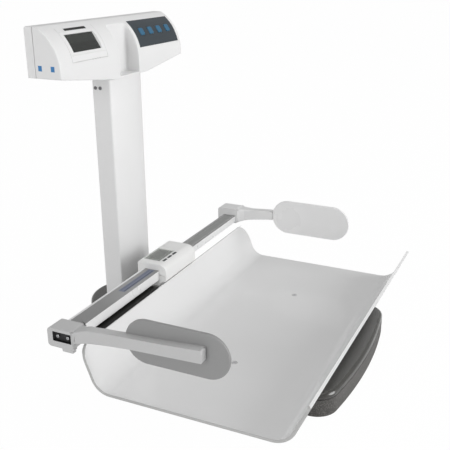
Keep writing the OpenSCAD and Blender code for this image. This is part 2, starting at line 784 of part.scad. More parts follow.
module head_rear() {
    color(white) difference() {
        union() {
            difference() {
                head_solid(0);
                head_solid(head_t);
                recess(0);
            }
            for (p = head_screw_at)
                rod([p[0], head_y1 - 1, p[1]], [90, 0, 0], rear_d - 1, 4.5);
        }
        box([-head_w, head_y0 - 5, 0], [head_w, seam_y, head_top + 5]);
        for (p = head_screw_at) {
            rod([p[0], head_y1 + 1, p[1]], [90, 0, 0], rear_d + 5, screw_r + 0.2);
            rod([p[0], head_y1 + 1, p[1]], [90, 0, 0], 4 + head_screw_h, screw_r * 2 + 0.2);
        }
        box([door_x0 - fit, head_y1 - head_t - 1, door_z0 - fit], [door_x1 + fit, head_y1 + 1, door_z1 + fit]);
        rod([inlet_x, head_y1 + 1, inlet_z], [90, 0, 0], 8, inlet_r + 2);
        for (sx = [-1, 1])
            cheek_slot(sx);
        translate([base_offset, cable_y, head_bottom - 5]) cylinder(h = 12, r = cable_r + 1.5);
    }
}

module head_screws() {
    color(steel) for (p = head_screw_at) {
        rod([p[0], head_y1 - 3, p[1]], [90, 0, 0], head_screw_h, screw_r * 2);
        rod([p[0], head_y1 - 3, p[1]], [90, 0, 0], rear_d - 3 + 9, screw_r - 0.05);
    }
}

lcd_plane = head_arc_r * cos(asin(lcd_h / 2 / head_arc_r));
lens_top = lcd_plane - 2;
lens_t = 1.5;
lcd_t = 3;
lcd_board_r = lens_top - lens_t - lcd_t;

module lcd_bezel() {
    open_w = lcd_w - 4;
    open_h = lcd_h - 4;
    color(white) difference() {
        union() {
            arc_panel(bezel_x0, bezel_x1, bezel_a0, bezel_a1, head_arc_r - head_t, head_arc_r);
            on_front(-lcd_x, lcd_angle) translate([0, 0, lens_top - lens_t]) linear_extrude(lens_t + 1.8)
                square([lcd_w + 8, lcd_h + 6], center = true);
            for (x = lcd_post_at)
                on_front(x, lcd_angle) translate([0, 0, lcd_board_r]) cylinder(h = head_arc_r - 2 - lcd_board_r, r = 2.8);
        }
        on_front(-lcd_x, lcd_angle) {
            translate([0, 0, lens_top - lens_t - 5]) linear_extrude(lens_t + 5) square([lcd_w + 2 * fit, lcd_h + 2 * fit], center = true);
            translate([0, 0, lens_top - 5]) linear_extrude(15) square([open_w, open_h], center = true);
            hull() {
                translate([0, 0, lens_top + 0.6]) linear_extrude(e) square([open_w, open_h], center = true);
                translate([0, 0, lens_top + 4]) linear_extrude(e) square([open_w + 3, open_h + 2], center = true);
            }
        }
        arc_panel(strip_x0, strip_x1, strip_a0, strip_a1, head_arc_r - 1, head_arc_r + 1);
    }
}

strip_a0 = 49.5;
strip_a1 = 53.5;
strip_x0 = -lcd_x - 28;
strip_x1 = -lcd_x + 28;

module indicator_strip() {
    color(dark) arc_panel(strip_x0 + 0.1, strip_x1 - 0.1, strip_a0 + 0.1, strip_a1 - 0.1, head_arc_r - 0.9, head_arc_r);
}

module lcd_window() {
    color([0.1, 0.11, 0.12, 0.5]) on_front(-lcd_x, lcd_angle)
        translate([0, 0, lens_top - lens_t]) linear_extrude(lens_t) square([lcd_w, lcd_h], center = true);
}

module lcd_panel() {
    color([0.16, 0.18, 0.17]) on_front(-lcd_x, lcd_angle)
        translate([0, 0, lens_top - lens_t - lcd_t]) linear_extrude(lcd_t) square([lcd_w - 2, lcd_h - 2], center = true);
}

module main_board() {
    z = lcd_board_r;
    color([0.1, 0.35, 0.2]) on_front(-lcd_x, lcd_angle) union() {
        translate([0, 0, z - 1.6]) linear_extrude(1.6) square([bezel_w + 2, lcd_h + 2], center = true);
        for (x = [-26, 0, 22])
            translate([x, 0, z - 4.6]) linear_extrude(3.1) square([12, 12], center = true);
    }
}

module keypad_panel() {
    color(dark) difference() {
        arc_panel(panel_x0 + 0.1, panel_x1 - 0.1, panel_a0 + 0.1, panel_a1 - 0.1, head_arc_r - panel_t + 0.05, head_arc_r);
        for (x = key_x)
            on_front(x, key_angle) translate([0, 0, head_arc_r - 6]) linear_extrude(12)
                square([key_hole, key_hole], center = true);
    }
}

// One head key: a cap over a captive flange
module key(k) {
    color([0.16, 0.42, 0.70]) on_front(key_x[k], key_angle) union() {
        translate([0, 0, head_arc_r - key_drop]) linear_extrude(key_drop + 0.9) rounded_square([key_side, key_side], 3);
        translate([0, 0, head_arc_r - key_drop]) linear_extrude(1) square([key_side + 2.4, key_side + 2.4], center = true);
    }
}
module key_1() { key(0); }
module key_2() { key(1); }
module key_3() { key(2); }
module key_4() { key(3); }

module keypad_board() {
    color([0.1, 0.35, 0.2]) on_front(0, key_angle) union() {
        translate([keypad_x, 0, key_board_r - 1.6]) linear_extrude(1.6) square([4 * key_pitch + 12, 30], center = true);
        for (x = key_x)
            translate([x, 0, key_board_r - e]) cylinder(h = 3.1 - key_travel, r = 3.2);
    }
}

cell_aa_r = 7.2;
cell_aa_l = 50;
holder_x0 = base_offset + keypad_x - 53;
holder_y1 = head_y1 - head_t - fit;
holder_y0 = holder_y1 - 2 * cell_aa_r - 2.2;
holder_z0 = door_z0 + 0.5;

module battery_holder() {
    color(dark) difference() {
        box([holder_x0, holder_y0, holder_z0], [holder_x0 + 2 * cell_aa_l + 5, holder_y1, holder_z0 + 4 * cell_aa_r + 1.5]);
        box([holder_x0 + 1.5, holder_y0 + 1.5, holder_z0 + 1.5 - 1], [holder_x0 + 2 * cell_aa_l + 3.5, holder_y1 + 1, holder_z0 + 4 * cell_aa_r + 1.2]);
    }
}

module batteries() {
    color([0.55, 0.45, 0.25]) for (i = [0, 1], j = [0, 1])
        rod([holder_x0 + 2 + i * (cell_aa_l + 0.6), holder_y0 + 1.7 + cell_aa_r, holder_z0 + 0.7 + cell_aa_r + j * (2 * cell_aa_r + 0.1)],
            [0, 90, 0], cell_aa_l, cell_aa_r - 0.1);
}

module battery_door() {
    color(white) difference() {
        union() {
            box([door_x0, head_y1 - head_t, door_z0], [door_x1, head_y1, door_z1]);
            for (k = [0 : 4])
                box([door_x1 - 24 + 4 * k, head_y1 - e, door_z0 + 8], [door_x1 - 22 + 4 * k, head_y1 + 0.4, door_z1 - 8]);
        }
    }
}

module power_inlet() {
    color(dark) difference() {
        union() {
            rod([inlet_x, head_y1 - 0.2, inlet_z], [90, 0, 0], inlet_d + 2, inlet_r + 1.8);
            box([inlet_x - 6, head_y1 - inlet_d - 2.2, inlet_z - 5.5], [inlet_x + 6, head_y1 - head_t - 0.2, inlet_z + 5.5]);
        }
        rod([inlet_x, head_y1 + 1, inlet_z], [90, 0, 0], inlet_d + 1.2, inlet_r);
    }
}

// ---------------------------------------------------------------- length rod, fixed part

mount_screw_x = [mount_x0 + 30, mount_x1 - 30];
mount_screw_s = wall_len - 30;
mount_t = 2;

// Black rail: a shelf over the wall's top edge and a flange down its back
module rod_mount() {
    top = wall_top + 0.3 + mount_t;
    flange = [wall_point(wall_len - flange_h, tray_t + 0.2), wall_point(wall_len - flange_h, tray_t + 0.2 + mount_t),
        wall_point(wall_len + 3.5, tray_t + 0.2 + mount_t), wall_point(wall_len + 3.5, tray_t + 0.2)];
    color(dark) difference() {
        union() {
            along_x(mount_x0, mount_x1) union() {
                polygon(flange);
                translate([corner_y + wall_lean, wall_top + 0.3]) square([rod_y1 - 6 - corner_y - wall_lean, mount_t]);
            }
            for (x = mount_screw_x)
                box([x - 12, rod_y0 + 2, top - e], [x + 12, rod_y1 - 6, rod_z0]);
        }
        for (x = mount_screw_x) {
            translate([x, wall_point(mount_screw_s, tray_t)[0], wall_point(mount_screw_s, tray_t)[1]])
                rotate([90 - wall_angle, 0, 0]) translate([0, 0, -6]) cylinder(h = 8, r = screw_r + 0.2);
            translate([x, rod_yc, wall_top - 2]) cylinder(h = rod_lift + 6, r = screw_r + 0.2);
        }
    }
}

module rod_mount_screws() {
    color(steel) for (x = mount_screw_x) {
        translate([x, wall_point(mount_screw_s, tray_t)[0], wall_point(mount_screw_s, tray_t)[1]])
            rotate([90 - wall_angle, 0, 0]) translate([0, 0, -0.2 - mount_t]) {
                translate([0, 0, -1.6]) cylinder(h = 1.6, r = screw_r * 1.9);
                translate([0, 0, -e]) cylinder(h = mount_t + 0.2 + 3.4, r = screw_r);
            }
        translate([x, rod_yc, wall_top + 0.3 - 1.6]) cylinder(h = 1.6, r = screw_r * 1.9);
        translate([x, rod_yc, wall_top + 0.3 - e]) cylinder(h = rod_lift - 0.4 + rod_t, r = screw_r);
    }
}

module hollow_section(w, h, t) {
    difference() {
        square([w, h], center = true);
        square([w - 2 * t, h - 2 * t], center = true);
    }
}

module rod_outer() {
    color(alu) difference() {
        along_x(outer_x0, outer_x1) translate([rod_yc, rod_zc]) hollow_section(rod_w, rod_h, rod_t);
        for (x = mount_screw_x)
            translate([x, rod_yc, rod_z0 - 1]) cylinder(h = rod_t + 2, r = screw_r + 0.05);
    }
}

module rod_end_plug() {
    color(dark) difference() {
        box([outer_x0, rod_yc - rod_w / 2 + rod_t + 0.1, rod_z0 + rod_t + 0.1],
            [outer_x0 + plug_t, rod_yc + rod_w / 2 - rod_t - 0.1, rod_z0 + rod_h - rod_t - 0.1]);
        for (p = end_screw_at)
            rod([outer_x0 - 1, p[0], p[1]], [0, 90, 0], plug_t - 0.5, screw_r);
    }
}

end_screw_at = [for (sy = [-1, 1]) [rod_yc + sy * (inner_w / 2 - 5), rod_zc]];

// Section of the display housing in Y and Z, drawn inwards by i
function case_section(i) = [
    [case_y0 + 13 + 0.6 * i, case_z0 + i], [case_y1 - i, case_z0 + i], [case_y1 - i, case_z1 - 3 - 0.6 * i],
    [case_y1 - 3 - 0.6 * i, case_z1 - i], [case_y0 + 16, case_z1 - i], [case_y0 + 10 + 0.2 * i, case_z1 - 1 - i],
    [case_y0 + 5 + 0.6 * i, case_z1 - 3.5 - i], [case_y0 + 1.5 + i, case_z1 - 7 - 0.8 * i],
    [case_y0 + i, case_z1 - 12 - 0.4 * i], [case_y0 + i, wall_top + 7 + 0.5 * i],
    [case_y0 + 2 + i, wall_top + 4 + 0.8 * i], [case_y0 + 8 + 0.4 * i, wall_top + 1.2 + i], [case_y0 + 12.5 + 0.8 * i, wall_top - 0.5 + 0.8 * i]];

board_z = case_z1 - case_t - 5.4;

module case_block(i, j) {
    along_x(case_x0 + j, case_x1 - j) polygon(case_section(i));
}

module rod_passages() {
    box([case_x0 - 1, rod_y0 - 0.1, rod_z0 - 0.1], [case_x0 + 10, rod_y1 + 0.1, rod_z0 + rod_h + 0.1]);
    box([case_x1 - 10, rod_yc - inner_w / 2 - run, rod_zc - inner_h / 2 - run],
        [case_x1 + 1, rod_yc + inner_w / 2 + run, rod_zc + inner_h / 2 + run]);
}

// Ribs in both halves that hold the outer extrusion and the guide bush
module case_ribs() {
    for (x = [case_x0 + 14, case_x0 + 52, case_x1 - 20])
        box([x, case_y0 + 8, case_z0 + 1], [x + 2, case_y1 - 1, board_z]);
}

module case_ribs_cut() {
    box([case_x0, rod_y0 - 0.1, rod_z0 - 0.1], [outer_x1 + 4, rod_y1 + 0.1, rod_z0 + rod_h + 0.1]);
    box([case_x1 - 24, rod_yc - bush_w / 2 - 0.1, rod_zc - bush_h / 2 - 0.1], [case_x1 - case_t, rod_yc + bush_w / 2 + 0.1, rod_zc + bush_h / 2 + 0.1]);
}

module case_shell() {
    difference() {
        union() {
            difference() {
                case_block(0, 0);
                case_block(case_t, case_t);
            }
            intersection() {
                case_ribs();
                case_block(0, 0);
            }
        }
        rod_passages();
        case_ribs_cut();
    }
}

module rod_case_lower() {
    color(white) difference() {
        case_shell();
        box([case_x0 - 1, case_y0 - 1, rod_zc], [case_x1 + 1, case_y1 + 1, case_z1 + 1]);
    }
}

rod_key_x = [for (k = [0 : 2]) case_x - 14 + (k - 1) * 17];
rod_key_y = case_y0 + 15.5;
rod_key_w = 4.4;
rod_lcd_x = case_x - 14;
rod_lcd_y = case_y1 - 3.6 - rod_lcd_d / 2;

module rod_case_upper() {
    color(white) difference() {
        case_shell();
        box([case_x0 - 1, case_y0 - 1, case_z0 - 1], [case_x1 + 1, case_y1 + 1, rod_zc]);
        translate([rod_lcd_x, rod_lcd_y, case_z1 - 1.2]) linear_extrude(3) square([rod_lcd_w + 0.2, rod_lcd_d + 0.2], center = true);
        translate([rod_lcd_x, rod_lcd_y, case_z1 - 5]) linear_extrude(8) square([rod_lcd_w - 4, rod_lcd_d - 4], center = true);
        for (x = rod_key_x)
            translate([x, rod_key_y, case_z1 - 8]) linear_extrude(12) square([rod_key_l + 2 * fit, rod_key_w + 2 * fit], center = true);
    }
}

module rod_window() {
    color([0.3, 0.32, 0.3, 0.6]) translate([rod_lcd_x, rod_lcd_y, case_z1 - 1.15]) linear_extrude(1.15)
        square([rod_lcd_w, rod_lcd_d], center = true);
}

module rod_lcd() {
    color([0.3, 0.33, 0.3]) translate([rod_lcd_x, rod_lcd_y, board_z + 1.4]) linear_extrude(case_z1 - 1.3 - board_z - 1.4)
        square([rod_lcd_w - 5, rod_lcd_d - 5], center = true);
}

module rod_board() {
    color([0.1, 0.35, 0.2]) {
        box([case_x0 + case_t + 1, rod_key_y - 3, board_z], [case_x1 - case_t - 1, case_y1 - case_t - 2, board_z + 1.4]);
        for (x = rod_key_x)
            translate([x, rod_key_y, board_z + 1.4 - e]) cylinder(h = 0.6, r = 1.8);
    }
}

module rod_cell() {
    color(steel) rod([case_x1 - 33, rod_yc, board_z - 3.4], [0, 0, 0], 3.2, 10);
}

module rod_key(k) {
    z0 = board_z + 2.1 + rod_key_travel;
    color([0.25, 0.27, 0.28]) translate([rod_key_x[k], rod_key_y, z0]) union() {
        linear_extrude(case_z1 - 0.2 - z0) square([rod_key_l, rod_key_w], center = true);
        linear_extrude(0.8) square([rod_key_l + 2, rod_key_w + 1.6], center = true);
    }
}
module rod_key_1() { rod_key(0); }
module rod_key_2() { rod_key(1); }
module rod_key_3() { rod_key(2); }

bush_w = inner_w + 6;
bush_h = inner_h + 6;

module guide_bush() {
    color(dark) difference() {
        box([case_x1 - 23, rod_yc - bush_w / 2, rod_zc - bush_h / 2], [case_x1 - case_t - 0.1, rod_yc + bush_w / 2, rod_zc + bush_h / 2]);
        box([case_x1 - 24, rod_yc - inner_w / 2 - run, rod_zc - inner_h / 2 - run], [case_x1, rod_yc + inner_w / 2 + run, rod_zc + inner_h / 2 + run]);
    }
}

// ---------------------------------------------------------------- length rod, sliding part

strip_w = 9;
strip_t = 0.5;

// A screw port: a bored boss on a web inside the inner extrusion
port_r = 3.1;
module screw_port() {
    difference() {
        union() {
            circle(port_r, $fn = 32);
            square([1.8, inner_h - rod_t], center = true);
        }
        circle(screw_r, $fn = 32);
    }
}

module rod_inner() {
    color(alu) difference() {
        along_x(inner_x0, inner_x1) union() {
            translate([rod_yc, rod_zc]) hollow_section(inner_w, inner_h, rod_t);
            for (p = end_screw_at)
                translate(p) screw_port();
        }
        for (k = [-1, 1])
            box([inner_x0 - 1, rod_yc + k * 10 - 0.8, rod_zc + inner_h / 2 - 0.6], [inner_x1 + 1, rod_yc + k * 10 + 0.8, rod_zc + inner_h]);
        box([inner_x0 - 1, rod_yc - strip_w / 2, rod_zc + inner_h / 2 - strip_t], [inner_x1 + 1, rod_yc + strip_w / 2, rod_zc + inner_h]);
    }
}

module measuring_strip() {
    color(dark) box([inner_x0 + 2, rod_yc - strip_w / 2 + 0.1, rod_zc + inner_h / 2 - strip_t],
        [inner_x1 - 14, rod_yc + strip_w / 2 - 0.1, rod_zc + inner_h / 2 - 0.1]);
}

// A plug with a head that glides inside the outer extrusion
module slide_shoe() {
    color(dark) union() {
        box([inner_x0 - shoe_t, rod_yc - inner_w / 2 - 0.1, rod_zc - inner_h / 2 - 0.1],
            [inner_x0, rod_yc + inner_w / 2 + 0.1, rod_zc + inner_h / 2 + 0.1]);
        box([inner_x0 - e, rod_yc - inner_w / 2 + 5 + port_r + 0.1, rod_zc - inner_h / 2 + rod_t + 0.1],
            [inner_x0 + 10, rod_yc + inner_w / 2 - 5 - port_r - 0.1, rod_zc + inner_h / 2 - rod_t - 0.1]);
    }
}

// ---------------------------------------------------------------- brackets and paddles

// Everything below is drawn for the near end, with its outer face at x = 0 and the rod towards +X

block_y0 = rod_y0 - 3;
block_y1 = rod_y1 + 11;
near_z0 = rod_z0 - 10;
near_z1 = rod_z0 + rod_h + 3.5;
far_z0 = rod_zc - inner_h / 2 - 3;
far_z1 = rod_z0 + rod_h + 13;

// Side view of an arm, from the rod down its lower edge and back along its upper edge,
// beside a block whose top is at this height
arm_end_y = paddle_y0 + 0.215 * paddle_l;
arm_mid_y = paddle_y1 - 0.42 * paddle_l;
function arm_profile(top) = [[block_y1 - 20, rod_zc - 6], [rod_y0 - 4, rod_zc - 7],
    [corner_y + 12, rod_zc - 2.5], [corner_y - 27, rod_zc + 3.5], [paddle_y1 - 16, paddle_zc - 0.46 * arm_h],
    [arm_end_y, paddle_zc - 0.18 * arm_h], [arm_end_y, paddle_zc + 0.82 * arm_h],
    [arm_mid_y, paddle_zc + 0.58 * arm_h], [paddle_y1 - 17, paddle_zc + 0.43 * arm_h],
    [corner_y - 15, rod_zc + 21.5], [rod_y0 - 26, rod_zc + 19.5], [rod_y0 - 1, top - 1],
    [block_y1 - 20, top - 1]];

// The arm from above: as thick as the block beside the rod, thinner towards the paddle, with a
// shallow hollow in its outer face
arm_plan = [[0, block_y1 - 18], [bracket_t - 1, block_y1 - 18], [bracket_t - 1, rod_y0 - 2],
    [arm_t + 3, rod_y0 - 14], [arm_t, rod_y0 - 30], [arm_t, arm_end_y - 1], [0.5, arm_end_y - 1],
    [2, corner_y - 40], [3, corner_y + 4], [2, rod_y0 - 10], [0, rod_y0 + 2]];
peg_r = 3;
peg_at = [[paddle_y1 - 20, paddle_zc - 1], [arm_mid_y - 20, paddle_zc + 0.3 * arm_h]];

module bracket_body(w, h, z0, z1, shift) {
    color(grey) difference() {
        union() {
            along_x(0, bracket_t) translate([(block_y0 + block_y1) / 2, (z0 + z1) / 2])
                rounded_square([block_y1 - block_y0, z1 - z0], 6);
            intersection() {
                along_x(0, bracket_t - 1) polygon(arm_profile(z1));
                translate([0, 0, rod_z0 - 40]) linear_extrude(200) polygon(arm_plan);
            }
        }
        box([-1, rod_yc - w / 2 - 0.5, rod_zc - h / 2 + 1], [socket_d, rod_yc + w / 2 + 0.5, rod_zc + h / 2 - 1]);
        box([socket_d + end_wall, rod_yc - w / 2 - fit, rod_zc - h / 2 - fit], [bracket_t + 1, rod_yc + w / 2 + fit, rod_zc + h / 2 + fit]);
        box([paddle_in, paddle_y0 - 5, paddle_zc - paddle_h], [bracket_t + 5, paddle_y1 + shift + 1, paddle_zc + paddle_h]);
        for (p = end_screw_at)
            rod([socket_d - 1, p[0], p[1]], [0, 90, 0], end_wall + 2, screw_r + 0.2);
        for (p = peg_at)
            rod([paddle_in - 5.3, p[0], p[1]], [0, 90, 0], 8, peg_r + 0.05);
    }
}

// Lug under the near block
module bracket_lug() {
    color(grey) box([0, rod_y0 - 2.5, near_z0 - 4.5], [9, rod_y0 + 17.5, near_z0 + 3]);
}

module paddle_plate(shift) {
    color(grey) union() {
        along_x(paddle_in + 0.1, paddle_in + 0.1 + paddle_t) translate([(paddle_y0 + paddle_y1) / 2 + shift, paddle_zc]) {
            square([paddle_l - paddle_h, paddle_h], center = true);
            for (s = [-1, 1])
                translate([s * (paddle_l / 2 - paddle_h / 2), 0]) circle(paddle_h / 2, $fn = 96);
        }
        for (p = peg_at)
            rod([paddle_in - 5, p[0], p[1]], [0, 90, 0], 6, peg_r);
    }
}

// Black plate on the floor of the near block's socket, wider above than below
module socket_plate() {
    low = rod_zc - rod_h / 2 + 1.4;
    at_near() color(dark) difference() {
        along_x(socket_d - 1.2, socket_d) union() {
            translate([rod_yc - rod_w / 2 + 0.6, low + 4]) square([rod_w - 1.2, rod_h - 6.8]);
            translate([rod_yc - rod_w / 2 + 6, low]) square([rod_w - 12, 5]);
        }
        for (p = end_screw_at)
            rod([socket_d - 2, p[0], p[1]], [0, 90, 0], 4, screw_r + 0.2);
    }
}

module bracket_screws(seat) {
    color(steel) {
        for (p = end_screw_at) {
            rod([seat - head_screw_h, p[0], p[1]], [0, 90, 0], head_screw_h, screw_r * 1.7);
            rod([seat - e, p[0], p[1]], [0, 90, 0], socket_d - seat + end_wall + fit + 4.4, screw_r - 0.05);
        }
    }
}

// Places what is drawn for the near end at the far end, turned to face it
module at_near() {
    translate([near_x, 0, 0]) children();
}
module at_far() {
    translate([far_x, 0, 0]) mirror([1, 0, 0]) children();
}

module near_bracket() {
    at_near() union() {
        bracket_body(rod_w, rod_h, near_z0, near_z1, 0);
        bracket_lug();
    }
}
module near_paddle() { at_near() paddle_plate(0); }
module near_screws() { at_near() bracket_screws(socket_d - 1.2); }
module far_bracket() { at_far() bracket_body(inner_w, inner_h, far_z0, far_z1, far_shift); }
module far_paddle() { at_far() paddle_plate(far_shift); }
module far_screws() { at_far() bracket_screws(socket_d); }

base_housing();
base_plate();
base_screws();
feet();
foot_studs();
load_cell();
cell_spacers();
cell_screws();
tray_support();
tray_pads();
tray();
tray_screws();
column();
column_foot();
column_screws();
foot_screws();
signal_cable();
head_bracket();
head_front();
head_rear();
head_screws();
lcd_bezel();
lcd_window();
lcd_panel();
indicator_strip();
main_board();
keypad_panel();
key_1();
key_2();
key_3();
key_4();
keypad_board();
battery_holder();
batteries();
battery_door();
power_inlet();
rod_mount();
rod_mount_screws();
rod_outer();
rod_end_plug();
rod_inner();
slide_shoe();
measuring_strip();
guide_bush();
rod_case_lower();
rod_case_upper();
rod_window();
rod_lcd();
rod_board();
rod_cell();
rod_key_1();
rod_key_2();
rod_key_3();
near_bracket();
near_paddle();
socket_plate();
near_screws();
far_bracket();
far_paddle();
far_screws();
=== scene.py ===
# %% [markdown]
# # A digital baby weighing scale
# The scale's solids come ready-made, in their right places, as a frame. This lesson dresses
# them: each visible part gets the rounded edges and the finish that the real one has, then a
# camera and soft studio lamps show it.

# %% Load the frame
import bpy
import bmesh
import json
from math import radians
from mathutils import Vector, Matrix


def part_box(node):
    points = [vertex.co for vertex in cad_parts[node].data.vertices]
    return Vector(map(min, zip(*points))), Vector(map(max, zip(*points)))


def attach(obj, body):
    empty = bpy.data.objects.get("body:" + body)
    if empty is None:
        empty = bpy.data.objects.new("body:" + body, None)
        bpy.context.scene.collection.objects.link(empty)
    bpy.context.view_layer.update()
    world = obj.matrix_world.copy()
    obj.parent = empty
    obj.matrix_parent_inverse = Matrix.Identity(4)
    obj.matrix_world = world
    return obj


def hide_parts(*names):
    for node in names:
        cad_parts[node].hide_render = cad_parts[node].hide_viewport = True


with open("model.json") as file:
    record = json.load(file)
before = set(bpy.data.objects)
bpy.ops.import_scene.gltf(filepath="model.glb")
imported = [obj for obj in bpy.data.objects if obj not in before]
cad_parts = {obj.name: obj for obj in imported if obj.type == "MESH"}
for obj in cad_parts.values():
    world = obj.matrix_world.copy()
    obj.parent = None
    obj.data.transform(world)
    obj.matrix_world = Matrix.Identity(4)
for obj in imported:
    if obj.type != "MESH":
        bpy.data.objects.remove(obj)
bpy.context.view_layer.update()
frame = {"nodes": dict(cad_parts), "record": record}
nodes = frame["nodes"]

# %% [markdown]
# ## The camera
# The camera comes first, because everything is judged through it. The picture of the scale was
# taken from its left, a little above it. The lens is slightly long, and the optical axis lies a
# little to the right of the picture's middle, which the shift repeats.

# %% Camera
IMAGE = 450
FOCAL_PX = 725.1
SHIFT_PX = -15.5
SENSOR_MM = 36
YAW, PITCH = 65.57, 20.12
camera_data = bpy.data.cameras.new("camera")
camera_data.sensor_width = SENSOR_MM
camera_data.lens = FOCAL_PX / IMAGE * SENSOR_MM
camera_data.shift_x = SHIFT_PX / IMAGE
camera = bpy.data.objects.new("camera", camera_data)
bpy.context.scene.collection.objects.link(camera)
camera.location = (-1.059, -0.52758, 0.663)
camera.rotation_euler = (radians(90 - PITCH), 0, radians(-YAW))
bpy.context.scene.camera = camera
print("camera: lens", round(camera_data.lens, 2), "mm")

# %% [markdown]
# ## Helpers for modelling
# An operator works on whatever is selected, so the first helper selects one object and nothing
# else. The second tells whether two lengths agree, which is how an edge or a face is recognised
# by its place. The third applies an object's modifiers in their order.

# %% Selecting, comparing, applying
def only(obj):
    bpy.ops.object.select_all(action="DESELECT")
    obj.select_set(True)
    bpy.context.view_layer.objects.active = obj


def near(a, b, gap=0.0006):
    return abs(a - b) < gap


def apply_modifiers(obj):
    only(obj)
    for modifier in list(obj.modifiers):
        bpy.ops.object.modifier_apply(modifier=modifier.name)


print("helpers: only, near, apply_modifiers")

# %% [markdown]
# ## Rounding the edges of a solid
# No moulded or pressed part has a perfectly sharp edge: each has a small radius that catches a
# line of light. A copy of the solid is cleaned, so that flat faces are single faces again, and
# its sharp edges are marked with a weight. A Bevel modifier rounds them by that weight. This is
# better than one width for all, because a thin lip needs a smaller radius than an outer corner.

# %% A softened copy of a solid
MERGE = 0.00002
FLAT_DEGREES = 0.6


def mark_edges(obj, sharp, weight):
    mesh = bmesh.new()
    mesh.from_mesh(obj.data)
    layer = mesh.edges.layers.float.new("bevel_weight_edge")
    for edge in mesh.edges:
        if len(edge.link_faces) == 2 and edge.calc_face_angle() > radians(sharp):
            place = (edge.verts[0].co + edge.verts[1].co) / 2
            edge[layer] = weight(place) if weight else 1
    mesh.to_mesh(obj.data)
    mesh.free()


def softened(node, width, segments=3, sharp=28, weight=None, smooth=35, shape=None):
    obj = bpy.data.objects.new(node + "_soft", nodes[node].data.copy())
    bpy.context.scene.collection.objects.link(obj)
    only(obj)
    bpy.ops.object.mode_set(mode="EDIT")
    bpy.ops.mesh.select_all(action="SELECT")
    bpy.ops.mesh.remove_doubles(threshold=MERGE)
    bpy.ops.mesh.dissolve_limited(angle_limit=radians(FLAT_DEGREES))
    bpy.ops.object.mode_set(mode="OBJECT")
    if shape:
        shape(obj)
    mark_edges(obj, sharp, weight)
    bevel = obj.modifiers.new("round", "BEVEL")
    bevel.limit_method = "WEIGHT"
    bevel.width = width
    bevel.segments = segments
    bevel.use_clamp_overlap = False
    obj.modifiers.new("shade", "WEIGHTED_NORMAL").keep_sharp = True
    bpy.ops.object.shade_smooth_by_angle(angle=radians(smooth))
    apply_modifiers(obj)
    low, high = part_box(node)
    for vertex in obj.data.vertices:
        vertex.co = [min(max(v, a), b) for v, a, b in zip(vertex.co, low, high)]
    return obj


print("rounding: merge", MERGE, "m, flat within", FLAT_DEGREES, "degrees")

# %% [markdown]
# ## Shared effects: moulded grain
# Several finishes share the same small effects, and each effect is a node group, built once and
# given its own sizes in each material. Moulded plastic has a fine grain from the mould's eroded
# steel, and broad, faint differences in gloss. Two noises give both, and a third gives specks.

# %% Grain as a node group
SPECK_SCALE = 620


def new_group(name, inputs, outputs):
    group = bpy.data.node_groups.new(name, "ShaderNodeTree")
    for label, value in inputs:
        socket = group.interface.new_socket(label, in_out="INPUT", socket_type="NodeSocketFloat")
        socket.default_value = value
    for label in outputs:
        group.interface.new_socket(label, in_out="OUTPUT", socket_type="NodeSocketFloat")
    return group, group.nodes.new("NodeGroupInput"), group.nodes.new("NodeGroupOutput")


def noise(tree, vector, scale, detail=3):
    node = tree.nodes.new("ShaderNodeTexNoise")
    node.inputs["Detail"].default_value = detail
    tree.links.new(vector, node.inputs["Vector"])
    if isinstance(scale, (int, float)):
        node.inputs["Scale"].default_value = scale
    else:
        tree.links.new(scale, node.inputs["Scale"])
    return node.outputs["Fac"]


def grain_group():
    sizes = [("Grain", 900), ("Patches", 9)]
    group, start, end = new_group("moulded_grain", sizes, ["Height", "Patch", "Speck"])
    place = group.nodes.new("ShaderNodeTexCoord").outputs["Object"]
    group.links.new(noise(group, place, start.outputs["Grain"], 2), end.inputs["Height"])
    group.links.new(noise(group, place, start.outputs["Patches"], 4), end.inputs["Patch"])
    group.links.new(noise(group, place, SPECK_SCALE, 1), end.inputs["Speck"])
    return group


grain = grain_group()
print("group:", grain.name)

# %% [markdown]
# ## Shared effects: drawn streaks
# Metal that was drawn or rolled has fine streaks along one direction. The same noise gives them
# when its space is stretched: a small scale along the piece and a large one across it.

# %% Streaks as a node group
def streak_group():
    sizes = [("Along", 4), ("Across", 900)]
    group, start, end = new_group("drawn_streaks", sizes, ["Height", "Patch"])
    place = group.nodes.new("ShaderNodeTexCoord").outputs["Object"]
    mapping = group.nodes.new("ShaderNodeMapping")
    join = group.nodes.new("ShaderNodeCombineXYZ")
    group.links.new(start.outputs["Along"], join.inputs["X"])
    group.links.new(start.outputs["Across"], join.inputs["Y"])
    group.links.new(start.outputs["Across"], join.inputs["Z"])
    group.links.new(place, mapping.inputs["Vector"])
    group.links.new(join.outputs["Vector"], mapping.inputs["Scale"])
    group.links.new(noise(group, mapping.outputs["Vector"], 1), end.inputs["Height"])
    group.links.new(noise(group, place, 14), end.inputs["Patch"])
    return group


streaks = streak_group()
print("group:", streaks.name)

# %% [markdown]
# ## One recipe for every finish
# A finish is two close colours mixed by a broad patch, a roughness that wanders between two
# values, and a bump from the fine grain. The colours are written as they look on a screen, from
# 0 to 255, and turned into the light values that the shader wants.

# %% The finish recipe
def light(value):
    v = value / 255
    return v / 12.92 if v <= 0.04045 else ((v + 0.055) / 1.055) ** 2.4


def colour(r, g, b):
    return (light(r), light(g), light(b), 1)


def blend_colours(tree, a, b, share):
    mix = tree.nodes.new("ShaderNodeMix")
    mix.data_type = "RGBA"
    if isinstance(a, tuple):
        mix.inputs["A"].default_value = colour(*a)
    else:
        tree.links.new(a, mix.inputs["A"])
    mix.inputs["B"].default_value = colour(*b)
    tree.links.new(share, mix.inputs["Factor"])
    return mix.outputs["Result"]


